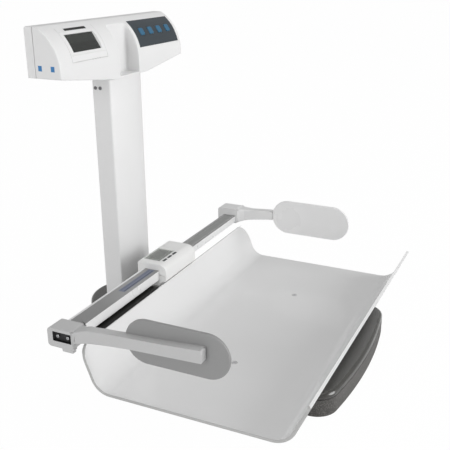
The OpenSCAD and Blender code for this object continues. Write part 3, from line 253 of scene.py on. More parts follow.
def spread(tree, value, span, result=(0, 1)):
    remap = tree.nodes.new("ShaderNodeMapRange")
    remap.inputs["From Min"].default_value = span[0]
    remap.inputs["From Max"].default_value = span[1]
    remap.inputs["To Min"].default_value = result[0]
    remap.inputs["To Max"].default_value = result[1]
    tree.links.new(value, remap.inputs["Value"])
    return remap.outputs["Result"]


def finish(name, tone, other, rough, depth, group=grain, metallic=0, coat=0, speck=None, shine=0.5,
           **sizes):
    material = bpy.data.materials.new(name)
    material.use_nodes = True
    tree = material.node_tree
    shader = tree.nodes["Principled BSDF"]
    effect = tree.nodes.new("ShaderNodeGroup")
    effect.node_tree = group
    for label, value in sizes.items():
        effect.inputs[label].default_value = value
    result = blend_colours(tree, tone, other, effect.outputs["Patch"])
    if speck:
        spots = spread(tree, effect.outputs["Speck"], (0.50, 0.66))
        result = blend_colours(tree, result, speck, spots)
    tree.links.new(result, shader.inputs["Base Color"])
    gloss = spread(tree, effect.outputs["Patch"], (0.3, 0.7), rough)
    tree.links.new(gloss, shader.inputs["Roughness"])
    bump = tree.nodes.new("ShaderNodeBump")
    bump.inputs["Distance"].default_value = depth
    bump.inputs["Strength"].default_value = 0.6
    tree.links.new(effect.outputs["Height"], bump.inputs["Height"])
    tree.links.new(bump.outputs["Normal"], shader.inputs["Normal"])
    shader.inputs["Metallic"].default_value = metallic
    shader.inputs["Coat Weight"].default_value = coat
    shader.inputs["Specular IOR Level"].default_value = shine
    return material


print("recipe ready; mid grey is", round(light(128), 3))

# %% [markdown]
# ## White parts
# The whites differ more in gloss than in colour. The tray is polished sheet under a clear coat,
# and its sawn ends are dull. The column is sprayed metal, and the head and the small housing on
# the rod are moulded with a fine grain. So each has a roughness and a grain of its own.

# %% White finishes
tray_white = finish("tray_white", (234, 234, 234), (229, 229, 229), (0.07, 0.13), 0.000004,
                    Grain=500, coat=0.3)
# The sawn ends are rougher; their darker grey is painted shade.
tray_edge = finish("tray_sawn_end_painted_shade", (190, 190, 189), (178, 178, 177), (0.30, 0.42), 0.00002,
                   Grain=500)
head_white = finish("head_white", (233, 233, 233), (227, 227, 227), (0.34, 0.44), 0.00003,
                    Grain=1500)
column_white = finish("column_white", (232, 232, 232), (227, 227, 227), (0.26, 0.36), 0.00003,
                      Grain=700, coat=0.15)
case_white = finish("case_white", (236, 236, 235), (230, 230, 229), (0.30, 0.40), 0.00003,
                    Grain=1500)
print("white finishes:", len(bpy.data.materials))

# %% [markdown]
# ## Grey and dark plastics
# The base's skirt is a coarse charcoal with lighter specks of mould grain, and its lid is
# smoother. The near and far brackets and paddles are one grey, given as a darker and a lighter
# copy: painted shade on the near ones and painted light on the far ones. Rubber
# scatters light the most, so its roughness is the highest.

# %% Grey and dark finishes
charcoal = finish("base_charcoal", (76, 74, 72), (64, 63, 61), (0.44, 0.56), 0.00030,
                  Grain=1100, speck=(108, 106, 103))
base_lid = finish("base_lid_charcoal", (62, 61, 57), (54, 53, 50), (0.20, 0.28), 0.00006,
                  Grain=1100, coat=0.7)
# Painted shade and light: the near bracket is a darker copy of the far bracket's grey.
near_bracket_painted_shade = finish("near_bracket_painted_shade", (200, 200, 200), (190, 190, 190), (0.34, 0.44), 0.00004,
                      Grain=1500)
far_bracket_lit = finish("far_bracket_painted_light", (230, 230, 230), (222, 222, 222), (0.34, 0.44), 0.00004,
                  Grain=1500)
# Painted shade and light: the near paddle is a darker copy of the far paddle's grey.
near_paddle_painted_shade = finish("near_paddle_painted_shade", (152, 152, 152), (144, 144, 144), (0.26, 0.36), 0.00002,
                          Grain=700)
far_paddle_painted_light = finish("far_paddle_painted_light", (236, 236, 236), (230, 230, 230), (0.26, 0.36), 0.00002,
                         Grain=700)
black_plastic = finish("black_plastic", (20, 20, 21), (28, 28, 29), (0.38, 0.50), 0.00004,
                       Grain=1500)
mount_black = finish("mount_black", (18, 18, 15), (25, 25, 22), (0.44, 0.58), 0.00003,
                     Grain=1000, shine=0.25)
soft_rubber = finish("soft_rubber", (28, 28, 29), (38, 38, 39), (0.65, 0.80), 0.00008,
                     Grain=900)
cable_black = finish("cable_black", (20, 20, 21), (27, 27, 28), (0.45, 0.55), 0.00004,
                     Grain=800)
board_green = finish("board_green", (24, 92, 56), (18, 78, 48), (0.35, 0.50), 0.00004,
                     Grain=700)
sleeve = finish("battery_sleeve", (150, 122, 60), (136, 108, 50), (0.25, 0.35), 0.00001,
                Grain=600)
print("with greys and darks:", len(bpy.data.materials))

# %% [markdown]
# ## Films, keys, prints and displays
# The keypad is a matt film with blue keys, and the marks are ink. A switched-off display is
# nearly black and reflects little, so its specular level is low and its window does the shining.

# %% Film, key, print and display finishes
slate_film = finish("slate_film", (54, 62, 68), (47, 55, 61), (0.34, 0.42), 0.00002, Grain=2400)
key_blue = finish("key_blue", (48, 106, 140), (42, 96, 128), (0.30, 0.38), 0.00002, Grain=1800)
rod_keys = finish("rod_key_slate", (62, 66, 68), (54, 58, 60), (0.50, 0.60), 0.00003, Grain=1800)
print_blue = finish("printed_blue", (66, 132, 188), (58, 122, 178), (0.35, 0.45), 0.00001, Grain=1800)
print_grey = finish("printed_grey", (122, 128, 146), (112, 118, 138), (0.40, 0.50), 0.00001,
                    Grain=1800)
print_dark = finish("printed_dark", (66, 72, 92), (56, 62, 82), (0.40, 0.50), 0.00001, Grain=1800)
display_dark = finish("display_dark", (14, 17, 15), (10, 12, 11), (0.24, 0.32), 0.00001,
                      Grain=400, shine=0.1)
rod_display = finish("rod_display", (54, 57, 51), (48, 51, 46), (0.30, 0.40), 0.00001,
                     Grain=400, shine=0.2)
display_line = finish("display_line", (206, 208, 200), (196, 198, 190), (0.40, 0.50), 0.00001,
                      Grain=900)
strip_film = finish("strip_film", (150, 151, 150), (138, 139, 138), (0.35, 0.45), 0.00002, Grain=900)
print("with films and displays:", len(bpy.data.materials))

# %% [markdown]
# ## Metals
# Zinc-plated sheet has long streaks, and a turned screw has none in one direction, so its two
# scales are equal. The rods are anodised: the layer is pale and only faintly metallic. Their
# tops get a darker grey than their fronts, which is painted shade.

# %% Metal finishes
zinc = finish("zinc_plate", (176, 178, 182), (156, 158, 164), (0.30, 0.46), 0.00002,
              streaks, metallic=1, Along=20, Across=300)
bright_steel = finish("bright_steel", (196, 197, 198), (180, 181, 183), (0.22, 0.34), 0.00001,
                      streaks, metallic=0.9, Along=60, Across=60)
screw_light = finish("screw_light", (216, 216, 217), (200, 200, 202), (0.28, 0.38), 0.00001,
                     streaks, metallic=0.35, Along=60, Across=60)
screw_grey = finish("screw_grey", (132, 132, 134), (116, 116, 118), (0.30, 0.42), 0.00001,
                    streaks, metallic=0.7, Along=60, Across=60)
black_steel = finish("black_steel", (40, 40, 42), (54, 54, 56), (0.34, 0.46), 0.00002,
                     streaks, metallic=0.6, Along=60, Across=60)
cell_metal = finish("machined_aluminium", (198, 199, 202), (186, 188, 192), (0.26, 0.38), 0.00002,
                    streaks, metallic=1, Along=8, Across=500)
rod_light = finish("rod_light", (240, 240, 240), (230, 230, 230), (0.26, 0.36), 0.00001,
                   streaks, metallic=0.15, Along=3, Across=900)
# Painted shade: a darker grey for the rods' upward faces.
rod_top = finish("rod_top_painted_shade", (164, 164, 164), (146, 146, 146), (0.28, 0.38), 0.00002,
                 streaks, metallic=0.45, Along=3, Across=900)
print("finishes:", len(bpy.data.materials))

# %% [markdown]
# ## Display windows
# Each display sits behind a clear, tinted window. Clear plastic is mostly transmission with a
# smooth surface, so the window lets the dark panel show and adds its own sharp reflection. Light
# on its way to a shadow passes straight through, or the panel behind would never be lit.

# %% Window material
def window_material(name, tint, shine):
    material = bpy.data.materials.new(name)
    material.use_nodes = True
    tree = material.node_tree
    shader = tree.nodes["Principled BSDF"]
    shader.inputs["Base Color"].default_value = colour(*tint)
    shader.inputs["Transmission Weight"].default_value = 0.92
    shader.inputs["IOR"].default_value = 1.49
    shader.inputs["Specular IOR Level"].default_value = shine
    effect = tree.nodes.new("ShaderNodeGroup")
    effect.node_tree = grain
    gloss = spread(tree, effect.outputs["Patch"], (0, 1), (0.04, 0.10))
    tree.links.new(gloss, shader.inputs["Roughness"])
    ray = tree.nodes.new("ShaderNodeLightPath")
    clear = tree.nodes.new("ShaderNodeBsdfTransparent")
    choice = tree.nodes.new("ShaderNodeMixShader")
    tree.links.new(ray.outputs["Is Shadow Ray"], choice.inputs["Fac"])
    tree.links.new(shader.outputs["BSDF"], choice.inputs[1])
    tree.links.new(clear.outputs["BSDF"], choice.inputs[2])
    tree.links.new(choice.outputs["Shader"], tree.nodes["Material Output"].inputs["Surface"])
    return material


display_glass = window_material("display_glass", (150, 155, 150), 0.2)
rod_glass = window_material("rod_glass", (240, 243, 240), 0.15)
print("windows:", display_glass.name, rod_glass.name)

# %% [markdown]
# ## Dressing the parts
# Every part gets its finish, also the ones inside that nobody sees, so that the scale can be
# taken apart on the screen. The frame itself says on which body a part moves and which slot of
# the material list it belongs to.

# %% Give each solid its finish
FINISH = {
    "base_housing": charcoal, "base_plate": zinc, "base_screws": bright_steel, "feet": soft_rubber,
    "foot_studs": bright_steel, "load_cell": cell_metal, "cell_spacers": zinc, "cell_screws": black_steel,
    "tray_support": zinc, "tray_pads": soft_rubber, "tray": tray_white, "tray_screws": screw_light,
    "column": column_white, "column_foot": zinc, "column_screws": screw_grey, "foot_screws": black_steel,
    "signal_cable": cable_black, "head_bracket": zinc, "head_front": head_white, "head_rear": head_white,
    "head_screws": bright_steel, "lcd_bezel": head_white, "lcd_window": display_glass,
    "lcd_panel": display_dark, "indicator_strip": black_plastic, "main_board": board_green,
    "keypad_panel": slate_film, "key_1": key_blue, "key_2": key_blue, "key_3": key_blue, "key_4": key_blue,
    "keypad_board": board_green, "battery_holder": black_plastic, "batteries": sleeve,
    "battery_door": head_white, "power_inlet": black_plastic, "rod_mount": mount_black,
    "rod_mount_screws": bright_steel, "rod_outer": rod_light, "rod_end_plug": black_plastic,
    "rod_inner": rod_light, "slide_shoe": black_plastic, "measuring_strip": strip_film,
    "guide_bush": black_plastic, "rod_case_lower": case_white, "rod_case_upper": case_white,
    "rod_window": rod_glass, "rod_lcd": rod_display, "rod_board": board_green, "rod_cell": bright_steel,
    "rod_key_1": rod_keys, "rod_key_2": rod_keys, "rod_key_3": rod_keys, "near_bracket": near_bracket_painted_shade,
    "near_paddle": near_paddle_painted_shade, "near_screws": bright_steel, "socket_plate": black_plastic,
    "far_bracket": far_bracket_lit, "far_paddle": far_paddle_painted_light, "far_screws": bright_steel,
}
for node, material in FINISH.items():
    for part_slot in nodes[node].material_slots:
        part_slot.material = material
SLOT = {row["node"]: row["material_slot"] for row in frame["record"]["subparts"]}
BODY = {}
for body, members in frame["record"]["behaviour"]["bodies"].items():
    for node in members:
        BODY[node] = body

# %% [markdown]
# ## Replacing a solid by its softened copy
# The copy takes over the solid's finish and body, and is then shown instead of it. Where
# one face of a moulding is darker or duller than the rest, it is found by its place and given a
# second material, because a real painter masks by place too.

# %% Replace and paint
def show_instead(piece, node):
    piece.data.materials.clear()
    piece.data.materials.append(FINISH[node])
    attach(piece, BODY[node])
    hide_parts(node)


def dress(node, width, **how):
    piece = softened(node, width, **how)
    show_instead(piece, node)
    print(node, "softened:", len(piece.data.polygons), "faces")
    return piece


def paint(piece, material, test):
    piece.data.materials.append(material)
    chosen = [face for face in piece.data.polygons if test(face.center, face.normal)]
    for face in chosen:
        face.material_index = len(piece.data.materials) - 1
    print(piece.name, "painted", material.name, "on", len(chosen), "faces")


print("replacing helpers: show_instead, dress, paint")

# %% [markdown]
# ## Cuts and grooves in a copy
# A plane cut with Bisect adds an edge right across a solid, without changing its shape. Faces
# between two cuts are then picked by where they lie and pushed in, which makes a groove. Real
# extrusions and mouldings have such grooves where a die or a parting line leaves them.

# %% Cut across, pick faces, sink them
def cut(obj, axis, places):
    only(obj)
    for place in places:
        spot = [0, 0, 0]
        way = [0, 0, 0]
        spot[axis] = place
        way[axis] = 1
        bpy.ops.object.mode_set(mode="EDIT")
        bpy.ops.mesh.select_all(action="SELECT")
        bpy.ops.mesh.bisect(plane_co=spot, plane_no=way)
        bpy.ops.object.mode_set(mode="OBJECT")


def pick(obj, test):
    only(obj)
    bpy.ops.object.mode_set(mode="EDIT")
    bpy.ops.mesh.select_mode(type="FACE")
    bpy.ops.mesh.select_all(action="DESELECT")
    bpy.ops.object.mode_set(mode="OBJECT")
    count = 0
    for face in obj.data.polygons:
        face.select = test(face.center, face.normal)
        count += face.select
    bpy.ops.object.mode_set(mode="EDIT")
    bpy.ops.mesh.select_mode(type="FACE")
    return count


def sink(obj, test, depth, border=0.00001):
    count = pick(obj, test)
    bpy.ops.mesh.inset(thickness=border, depth=-depth, use_boundary=True)
    bpy.ops.object.mode_set(mode="OBJECT")
    print(obj.name, "groove of", count, "faces")


print("cutting helpers: cut, pick, sink")

# %% [markdown]
# ## The tray
# The tray is one sheet of thick white plastic, bent up into a wall behind and a lip in front.
# Its faces are polished, but its two ends are sawn, so they're duller; their darker grey is painted shade,
# for end faces that turn away from the lamps. All its edges are broken a little, except at the lip's round
# corners, where a bevel has no room to turn.

# %% Tray
LIP_Z = 0.113
LIP_CORNER_X = 0.288


def tray_edges(p):
    return 0 if p.z > LIP_Z and abs(p.x) > LIP_CORNER_X else 1


tray = dress("tray", 0.0010, weight=tray_edges)
# The faces that look along the tray's length get the darker grey: painted shade.
paint(tray, tray_edge, lambda place, way: abs(way.x) > 0.25)

# %% [markdown]
# ## The column
# The column is an aluminium extrusion, painted white. Only its four long outer corners are
# rounded. The holes and the inner side of its wall stay crisp, as a die leaves them.

# %% Column
column_low, column_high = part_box("column")
column_x = (column_low[0] + column_high[0]) / 2
column_half = (column_high[0] - column_low[0]) / 2
FRONT_BULGE = 0.009


def column_edges(p):
    at_side = near(abs(p.x - column_x), column_half)
    at_corner = near(p.y, column_low[1] + FRONT_BULGE) or near(p.y, column_high[1])
    return 1 if at_side and at_corner else 0


dress("column", 0.0018, weight=column_edges)

# %% [markdown]
# ## The front of the head
# The head is moulded in two halves that meet in a seam near its back. The front one is the face
# of the scale, so its outer edges are well rounded. The display's frame and the keypad's film
# sit in shallow recesses whose edges stay tight, with a hair-thin gap around them. So do the
# edges of the thin floor below the notch in the middle.

# %% Front of the head
NOTCH_FLOOR_Z = 0.479
NOTCH_HALF = 0.032


def in_box(node, grow=0.0006):
    low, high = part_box(node)
    return lambda p: all(a - grow <= v <= b + grow for v, a, b in zip(p, low, high))


by_bezel = in_box("lcd_bezel")
by_keypad = in_box("keypad_panel")
seam_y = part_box("head_front")[1][1]


def front_edges(p):
    if by_bezel(p):
        return 0.3
    if by_keypad(p):
        return 0.15
    at_notch_floor = p.z < NOTCH_FLOOR_Z and abs(p.x - column_x) < NOTCH_HALF
    return 0.3 if p.y > seam_y - 0.0005 or at_notch_floor else 1


dress("head_front", 0.0014, weight=front_edges)

# %% [markdown]
# ## The back of the head and its seam
# Where two mouldings meet, the maker leaves a small step, so that a slight mismatch doesn't
# show. Here it's a narrow groove all the way round, cut into the rear half. Only the outer edges
# of the back are rounded. Its screw holes lie close to a corner and would be torn by a bevel.

# %% Back of the head
SEAM = 0.0012
SEAM_DEPTH = 0.0014
rear_low, rear_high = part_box("head_rear")


def seam_groove(obj):
    cut(obj, 1, (seam_y + SEAM,))

    def on_skin(place, way):
        at_end = near(place.x, rear_low[0], 0.0003) or near(place.x, rear_high[0], 0.0003)
        under_or_over = near(place.z, rear_low[2], 0.0003) or place.z > rear_high[2] - 0.012
        in_seam = seam_y < place.y < seam_y + SEAM and abs(way.y) < 0.5
        return in_seam and (at_end or under_or_over)

    sink(obj, on_skin, SEAM_DEPTH)


def rear_edges(p):
    outside = near(p.x, rear_low[0]) or near(p.x, rear_high[0]) or near(p.z, rear_high[2])
    return 1 if outside and p.y > seam_y + SEAM + 0.0004 else 0


dress("head_rear", 0.0012, shape=seam_groove, weight=rear_edges)

# %% [markdown]
# ## What sits in the head
# The display's frame, the indicator strip, the keypad's film and its keys are small parts with
# small radii. The frame stays crisp where the strip is let into it. Behind are the battery door
# and the power inlet.

# %% Small parts of the head
strip_low, strip_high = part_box("indicator_strip")


def bezel_edges(p):
    along_strip = strip_low[0] - 0.0031 < p.x < strip_high[0] + 0.0031
    return 0 if along_strip and p.z > strip_low[2] - 0.0018 else 1


dress("lcd_bezel", 0.0005, weight=bezel_edges)
dress("indicator_strip", 0.0003)
dress("keypad_panel", 0.0002)
for number in (1, 2, 3, 4):
    dress("key_%d" % number, 0.0008)
dress("battery_door", 0.0005)
dress("power_inlet", 0.0004)

# %% [markdown]
# ## Printed marks on the head's end
# A printed mark is a film of ink, far thinner than a sheet of paper. It's modelled as a plate
# with rounded edges, just thick enough not to flicker against the surface below. An image would
# do too, but geometry stays sharp from any distance. The marks are two plain blue squares.

# %% A thin printed plate
def plate(name, low, high, soft, material, slot):
    size = [b - a for a, b in zip(low, high)]
    centre = [(a + b) / 2 for a, b in zip(low, high)]
    bpy.ops.object.select_all(action="DESELECT")
    bpy.ops.mesh.primitive_cube_add(size=1, location=(0, 0, 0))
    piece = bpy.context.object
    piece.name = name
    bpy.ops.object.mode_set(mode="EDIT")
    bpy.ops.mesh.select_all(action="SELECT")
    bpy.ops.transform.resize(value=size, center_override=(0, 0, 0))
    bpy.ops.transform.translate(value=centre)
    bpy.ops.mesh.bevel(offset=soft, segments=2)
    bpy.ops.object.mode_set(mode="OBJECT")
    piece.data.materials.append(material)
    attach(piece, "scale")
    return piece


MARK_HALF = 0.0035
MARK_LOW_Z, MARK_HIGH_Z = 0.5016, 0.5099
end_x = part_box("head_front")[0][0]
for tag, y in (("rear", 0.21736), ("front", 0.19346)):
    plate("socket_mark_" + tag, (end_x - 0.00015, y - MARK_HALF, MARK_LOW_Z),
          (end_x + 0.00005, y + MARK_HALF, MARK_HIGH_Z), 0.00004, print_blue, SLOT["key_1"])
print("two marks on the end of the head")

# %% [markdown]
# ## The rods
# Both rods are drawn profiles, so only their long edges are rounded. The outer one has a bead
# along its back edge, set off by a narrow groove. The faces that look up are painted a darker
# grey than the fronts, as painted shade.

# %% Outer and inner rod
rod_low, rod_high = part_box("rod_outer")
inner_low, inner_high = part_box("rod_inner")
GROOVE_DEPTH = 0.0006
groove_y = (rod_high[1] - 0.0046, rod_high[1] - 0.0036)


def bead_groove(obj):
    cut(obj, 1, groove_y)
    sink(obj, lambda place, way: way.z > 0.9 and groove_y[0] < place.y < groove_y[1], GROOVE_DEPTH)


def long_edges(low, high):
    return lambda p: 1 if near(p.y, low[1]) or near(p.y, high[1]) else 0


outer = dress("rod_outer", 0.0006, shape=bead_groove, weight=long_edges(rod_low, rod_high))
# The upward faces of both rods get the darker grey: painted shade.
paint(outer, rod_top, lambda place, way: way.z > 0.6 and place.y < rod_high[1] - 0.0044)
inner = dress("rod_inner", 0.0004, weight=long_edges(inner_low, inner_high))
paint(inner, rod_top, lambda place, way: way.z > 0.6)

# %% [markdown]
# ## The printed band
# A band of ink with ticks runs along the top of the outer rod. It's a thin plate too, with a
# line and a row of ticks that stand just above it. One tick is modelled, and an Array modifier
# repeats it, which keeps all the ticks alike and equally spaced.

# %% Band, ticks and line
case_low, case_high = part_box("rod_case_upper")
band_y = (rod_low[1] + rod_high[1]) / 2 - 0.0026
rod_top_z = rod_high[2]
BAND_START_X = -0.150
BAND_HALF = 0.0062
TICKS, TICK_STEP = 30, 0.003
plate("rod_band", (BAND_START_X, band_y - BAND_HALF, rod_top_z - 0.00005),
      (case_low[0] - 0.002, band_y + BAND_HALF, rod_top_z + 0.00012),
      0.00004, print_grey, SLOT["rod_outer"])
tick = plate("rod_ticks", (-0.146, band_y + 0.0012, rod_top_z + 0.00005),
             (-0.1454, band_y + 0.0052, rod_top_z + 0.0002),
             0.00003, print_dark, SLOT["rod_outer"])
row = tick.modifiers.new("repeat", "ARRAY")
row.count = TICKS
row.use_relative_offset = False
row.use_constant_offset = True
row.constant_offset_displace = (TICK_STEP, 0, 0)
apply_modifiers(tick)
plate("rod_band_line", (-0.147, band_y - 0.0044, rod_top_z + 0.00005),
      (case_low[0] - 0.005, band_y - 0.0026, rod_top_z + 0.0002),
      0.00003, print_dark, SLOT["rod_outer"])
print("ticks:", len(tick.data.polygons), "faces")

# %% [markdown]
# ## The display housing on the rod
# Its two halves close round the rod. The outer ends get a moulded edge radius, and the openings
# for the rods, the window and the keys stay crisp.

# %% Display housing and its keys
def case_edges(p):
    at_end = near(p.x, case_low[0]) or near(p.x, case_high[0])
    in_rod_hole = 0.0860 < p.y < 0.1225 and 0.1280 < p.z < 0.1500
    return 1 if at_end and not in_rod_hole else 0


dress("rod_case_upper", 0.0012, weight=case_edges, smooth=40)
dress("rod_case_lower", 0.0012, weight=case_edges, smooth=40)
for number in (1, 2, 3):
    dress("rod_key_%d" % number, 0.0004)

# %% [markdown]
# ## The rail under the rod
# A black rail on the back of the tray carries the outer rod. Its near end reaches a little
# further than its solid: the end faces of the copy are picked and moved along.

# %% Rail
RAIL_EXTRA = 0.010
rail = dress("rod_mount", 0.0004)
rail_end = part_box("rod_mount")[0][0]
moved = pick(rail, lambda place, way: way.x < -0.2 and place.x < rail_end + 0.0008)
bpy.ops.transform.translate(value=(-RAIL_EXTRA, 0, 0))
bpy.ops.object.mode_set(mode="OBJECT")
print("rail: end moved with", moved, "faces")

# %% [markdown]
# ## A line round the rod's display
# The glass of the display has a thin light line printed round its field. A plane is inset, its
# middle is taken out, and the ring that's left is given thickness.

# %% Display line
def printed_ring(name, node, inside, width, z, material):
    low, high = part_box(node)
    size = (high[0] - low[0] - 2 * inside, high[1] - low[1] - 2 * inside, 1)
    bpy.ops.object.select_all(action="DESELECT")
    bpy.ops.mesh.primitive_plane_add(size=1, location=(0, 0, 0))
    piece = bpy.context.object
    piece.name = name
    bpy.ops.object.mode_set(mode="EDIT")
    bpy.ops.mesh.select_all(action="SELECT")
    bpy.ops.transform.resize(value=size, center_override=(0, 0, 0))
    bpy.ops.transform.translate(value=((low[0] + high[0]) / 2, (low[1] + high[1]) / 2, z))
    bpy.ops.mesh.select_mode(type="FACE")
    bpy.ops.mesh.inset(thickness=width)
    bpy.ops.mesh.delete(type="FACE")
    bpy.ops.mesh.select_all(action="SELECT")
    bpy.ops.mesh.extrude_region_move(TRANSFORM_OT_translate={"value": (0, 0, 0.00008)})
    bpy.ops.mesh.select_all(action="SELECT")
    bpy.ops.mesh.normals_make_consistent(inside=False)
    bpy.ops.object.mode_set(mode="OBJECT")
    piece.data.materials.append(material)
    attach(piece, BODY[node])
    return piece


line_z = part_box("rod_lcd")[1][2] + 0.00001
line = printed_ring("rod_display_line", "rod_lcd", 0.0030, 0.0006, line_z, display_line)
print("display line:", len(line.data.polygons), "faces")

# %% [markdown]
# ## Brackets and paddles
# Each paddle is a rounded plate held by an arm. The moulded edges on the outside are well
# rounded. The pocket for the rod and the slot for the paddle are cut sharp, and the walls of
# the pocket's mouth are painted black, as painted shade in the recess.

# %% Brackets and paddles
POCKET_Z = (0.1290, 0.1490)


def bracket_edges(low, high):
    def weight(p):
        in_pocket = 0.0865 < p.y < 0.1217 and POCKET_Z[0] < p.z < POCKET_Z[1]
        in_slot = low[1] + 0.0005 < p.y < 0.02 and low[0] + 0.0005 < p.x < high[0] - 0.0005
        inner_side = abs(p.x) < 0.2745 and p.y > 0.075
        return 0 if in_pocket or in_slot or inner_side else 1
    return weight


# Picks the walls of the pocket's mouth, which are painted black as painted shade.
def in_mouth(place, way):
    in_pocket = 0.0868 < place.y < 0.1214 and POCKET_Z[0] < place.z < POCKET_Z[1]
    return in_pocket and 0.2935 < abs(place.x) < 0.3056


for end in ("near", "far"):
    low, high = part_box(end + "_bracket")
    bracket = dress(end + "_bracket", 0.0018, weight=bracket_edges(low, high))
    # The mouth's walls are painted black: painted shade.
    paint(bracket, black_plastic, in_mouth)
    dress(end + "_paddle", 0.0012)

# %% [markdown]
# ## The base and its feet
# The base is a moulded cover with a rounded shoulder. A narrow groove runs below the shoulder,
# where the lid of the mould met its skirt. The skirt is grained and the lid is smoother, so the
# faces above the groove are painted. The shoulder's own round is in the solid already.

# %% Base
BASE_GROOVE_Z = (0.0332, 0.0350)
LID_Z = 0.0346
RIM_Z = 0.006


def base_groove(obj):
    cut(obj, 2, BASE_GROOVE_Z)

    def on_skin(place, way):
        return BASE_GROOVE_Z[0] < place.z < BASE_GROOVE_Z[1] and abs(way.z) < 0.8

    sink(obj, on_skin, 0.0014, border=0.00002)


base = dress("base_housing", 0.0006, shape=base_groove, weight=lambda p: 1 if p.z < RIM_Z else 0)
paint(base, base_lid, lambda place, way: place.z > LID_Z)
dress("feet", 0.0006)

# %% [markdown]
# ## A cross recess
# The recess in a screw's head is pressed by a punch with four tapering arms. Two bars at right
# angles are made from cubes, and the lower end of each is narrowed, as on the punch. They serve
# as cutters only and are taken away after use.

# %% The arms of the punch
def cross_cutter(reach, width, depth):
    arms = []
    for turn in (0, 90):
        bpy.ops.object.select_all(action="DESELECT")
        bpy.ops.mesh.primitive_cube_add(size=1, location=(0, 0, 0))
        arm = bpy.context.object
        bpy.ops.object.mode_set(mode="EDIT")
        bpy.ops.mesh.select_all(action="SELECT")
        bpy.ops.transform.resize(value=(2 * reach, width, 2 * depth), center_override=(0, 0, 0))
        bpy.ops.transform.rotate(value=radians(turn), orient_axis="Z", center_override=(0, 0, 0))
        bpy.ops.object.mode_set(mode="OBJECT")
        pick(arm, lambda place, way: way.z < -0.9)
        bpy.ops.transform.resize(value=(0.5, 0.5, 1), center_override=(0, 0, -depth))
        bpy.ops.object.mode_set(mode="OBJECT")
        arms.append(arm)
    return arms


print("recess helper: cross_cutter")

# %% [markdown]
# ## One screw
# A cross-recess screw has a low domed head and a plain shank, so the thread is left out where
# it's always hidden. The head is a cylinder whose top is bevelled into a dome. The shank is
# drawn out of its underside with inset and extrude, and a Boolean modifier cuts the recess.

# %% The screw itself
def screw(radius, height, shank, length, dome):
    bpy.ops.object.select_all(action="DESELECT")
    bpy.ops.mesh.primitive_cylinder_add(vertices=40, radius=radius, depth=height, location=(0, 0, 0))
    piece = bpy.context.object
    pick(piece, lambda place, way: way.z > 0.9)
    bpy.ops.mesh.bevel(offset=min(dome, height * 0.8), segments=4)
    bpy.ops.object.mode_set(mode="OBJECT")
    pick(piece, lambda place, way: way.z < -0.9)
    bpy.ops.mesh.inset(thickness=radius - shank)
    bpy.ops.mesh.extrude_region_move(TRANSFORM_OT_translate={"value": (0, 0, -length)})
    bpy.ops.mesh.bevel(offset=shank * 0.3, segments=2)
    bpy.ops.object.mode_set(mode="OBJECT")
    for arm in cross_cutter(radius * 0.62, radius * 0.26, height * 0.7):
        arm.data.transform(Matrix.Translation((0, 0, height / 2)))
        recess = piece.modifiers.new("recess", "BOOLEAN")
        recess.operation = "DIFFERENCE"
        recess.solver = "EXACT"
        recess.object = arm
        apply_modifiers(piece)
        bpy.data.objects.remove(arm)
    only(piece)
    bpy.ops.object.shade_smooth_by_angle(angle=radians(35))
    return piece


print("screw helper: screw")

# %% [markdown]
# ## Screws in their places
# The pattern screw is copied to every place where the frame has one, turned to the way it's
# driven. Each copy has its own mesh, and the copies of one node are joined, because they share
# that node. The pattern is removed at the end.

# %% Copy a screw to its places
def place_screws(node, pattern, height, spots):
    copies = []
    for spot, way in spots:
        twin = bpy.data.objects.new("twin", pattern.data.copy())
        bpy.context.scene.collection.objects.link(twin)
        turn = Vector((0, 0, 1)).rotation_difference(Vector(way)).to_matrix().to_4x4()
        twin.data.transform(Matrix.Translation(Vector(spot) + Vector(way) * height / 2) @ turn)
        copies.append(twin)
    bpy.ops.object.select_all(action="DESELECT")
    for twin in copies:
        twin.select_set(True)
    piece = copies[0]
    bpy.context.view_layer.objects.active = piece
    bpy.ops.object.join()
    piece.name = node + "_cross"
    show_instead(piece, node)
    print(piece.name, len(spots), "screws,", len(piece.data.polygons), "faces")


def sideways(node, radius, height, ways):
    low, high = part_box(node)
    x_at = {-1: low[0] + height, 1: high[0] - height}
    z = (low[2] + high[2]) / 2
    return [((x_at[way], y, z), (way, 0, 0)) for way in ways for y in (low[1] + radius, high[1] - radius)]


print("screw helpers: place_screws, sideways")

# %% [markdown]
# ## Column screws
# Two small pan heads sit high on each flat side of the column, dark against the white.

# %% Column screws
PAN_RADIUS, PAN_HEIGHT = 0.00304, 0.0016
pan = screw(PAN_RADIUS, PAN_HEIGHT, 0.0016, 0.0060, 0.0009)
place_screws("column_screws", pan, PAN_HEIGHT, sideways("column_screws", PAN_RADIUS, PAN_HEIGHT, (-1, 1)))
bpy.data.objects.remove(pan)

# %% [markdown]
# ## Bracket screws
# The two bright heads in the near bracket's open end hold it to the rod. The far bracket has
# the same ones on its own outer side, where the camera doesn't see them.

# %% Bracket screws
BRACKET_HEAD = 0.0014
low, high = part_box("near_screws")
radius = (high[2] - low[2]) / 2
socket = screw(radius, BRACKET_HEAD, radius * 0.55, high[0] - low[0] - 0.0016, 0.0008)
place_screws("near_screws", socket, BRACKET_HEAD, sideways("near_screws", radius, BRACKET_HEAD, (-1,)))
place_screws("far_screws", socket, BRACKET_HEAD, sideways("far_screws", radius, BRACKET_HEAD, (1,)))
bpy.data.objects.remove(socket)

# %% [markdown]
# ## Tray screws
# Two flat heads lie level with the tray's floor and go down into the posts below it.

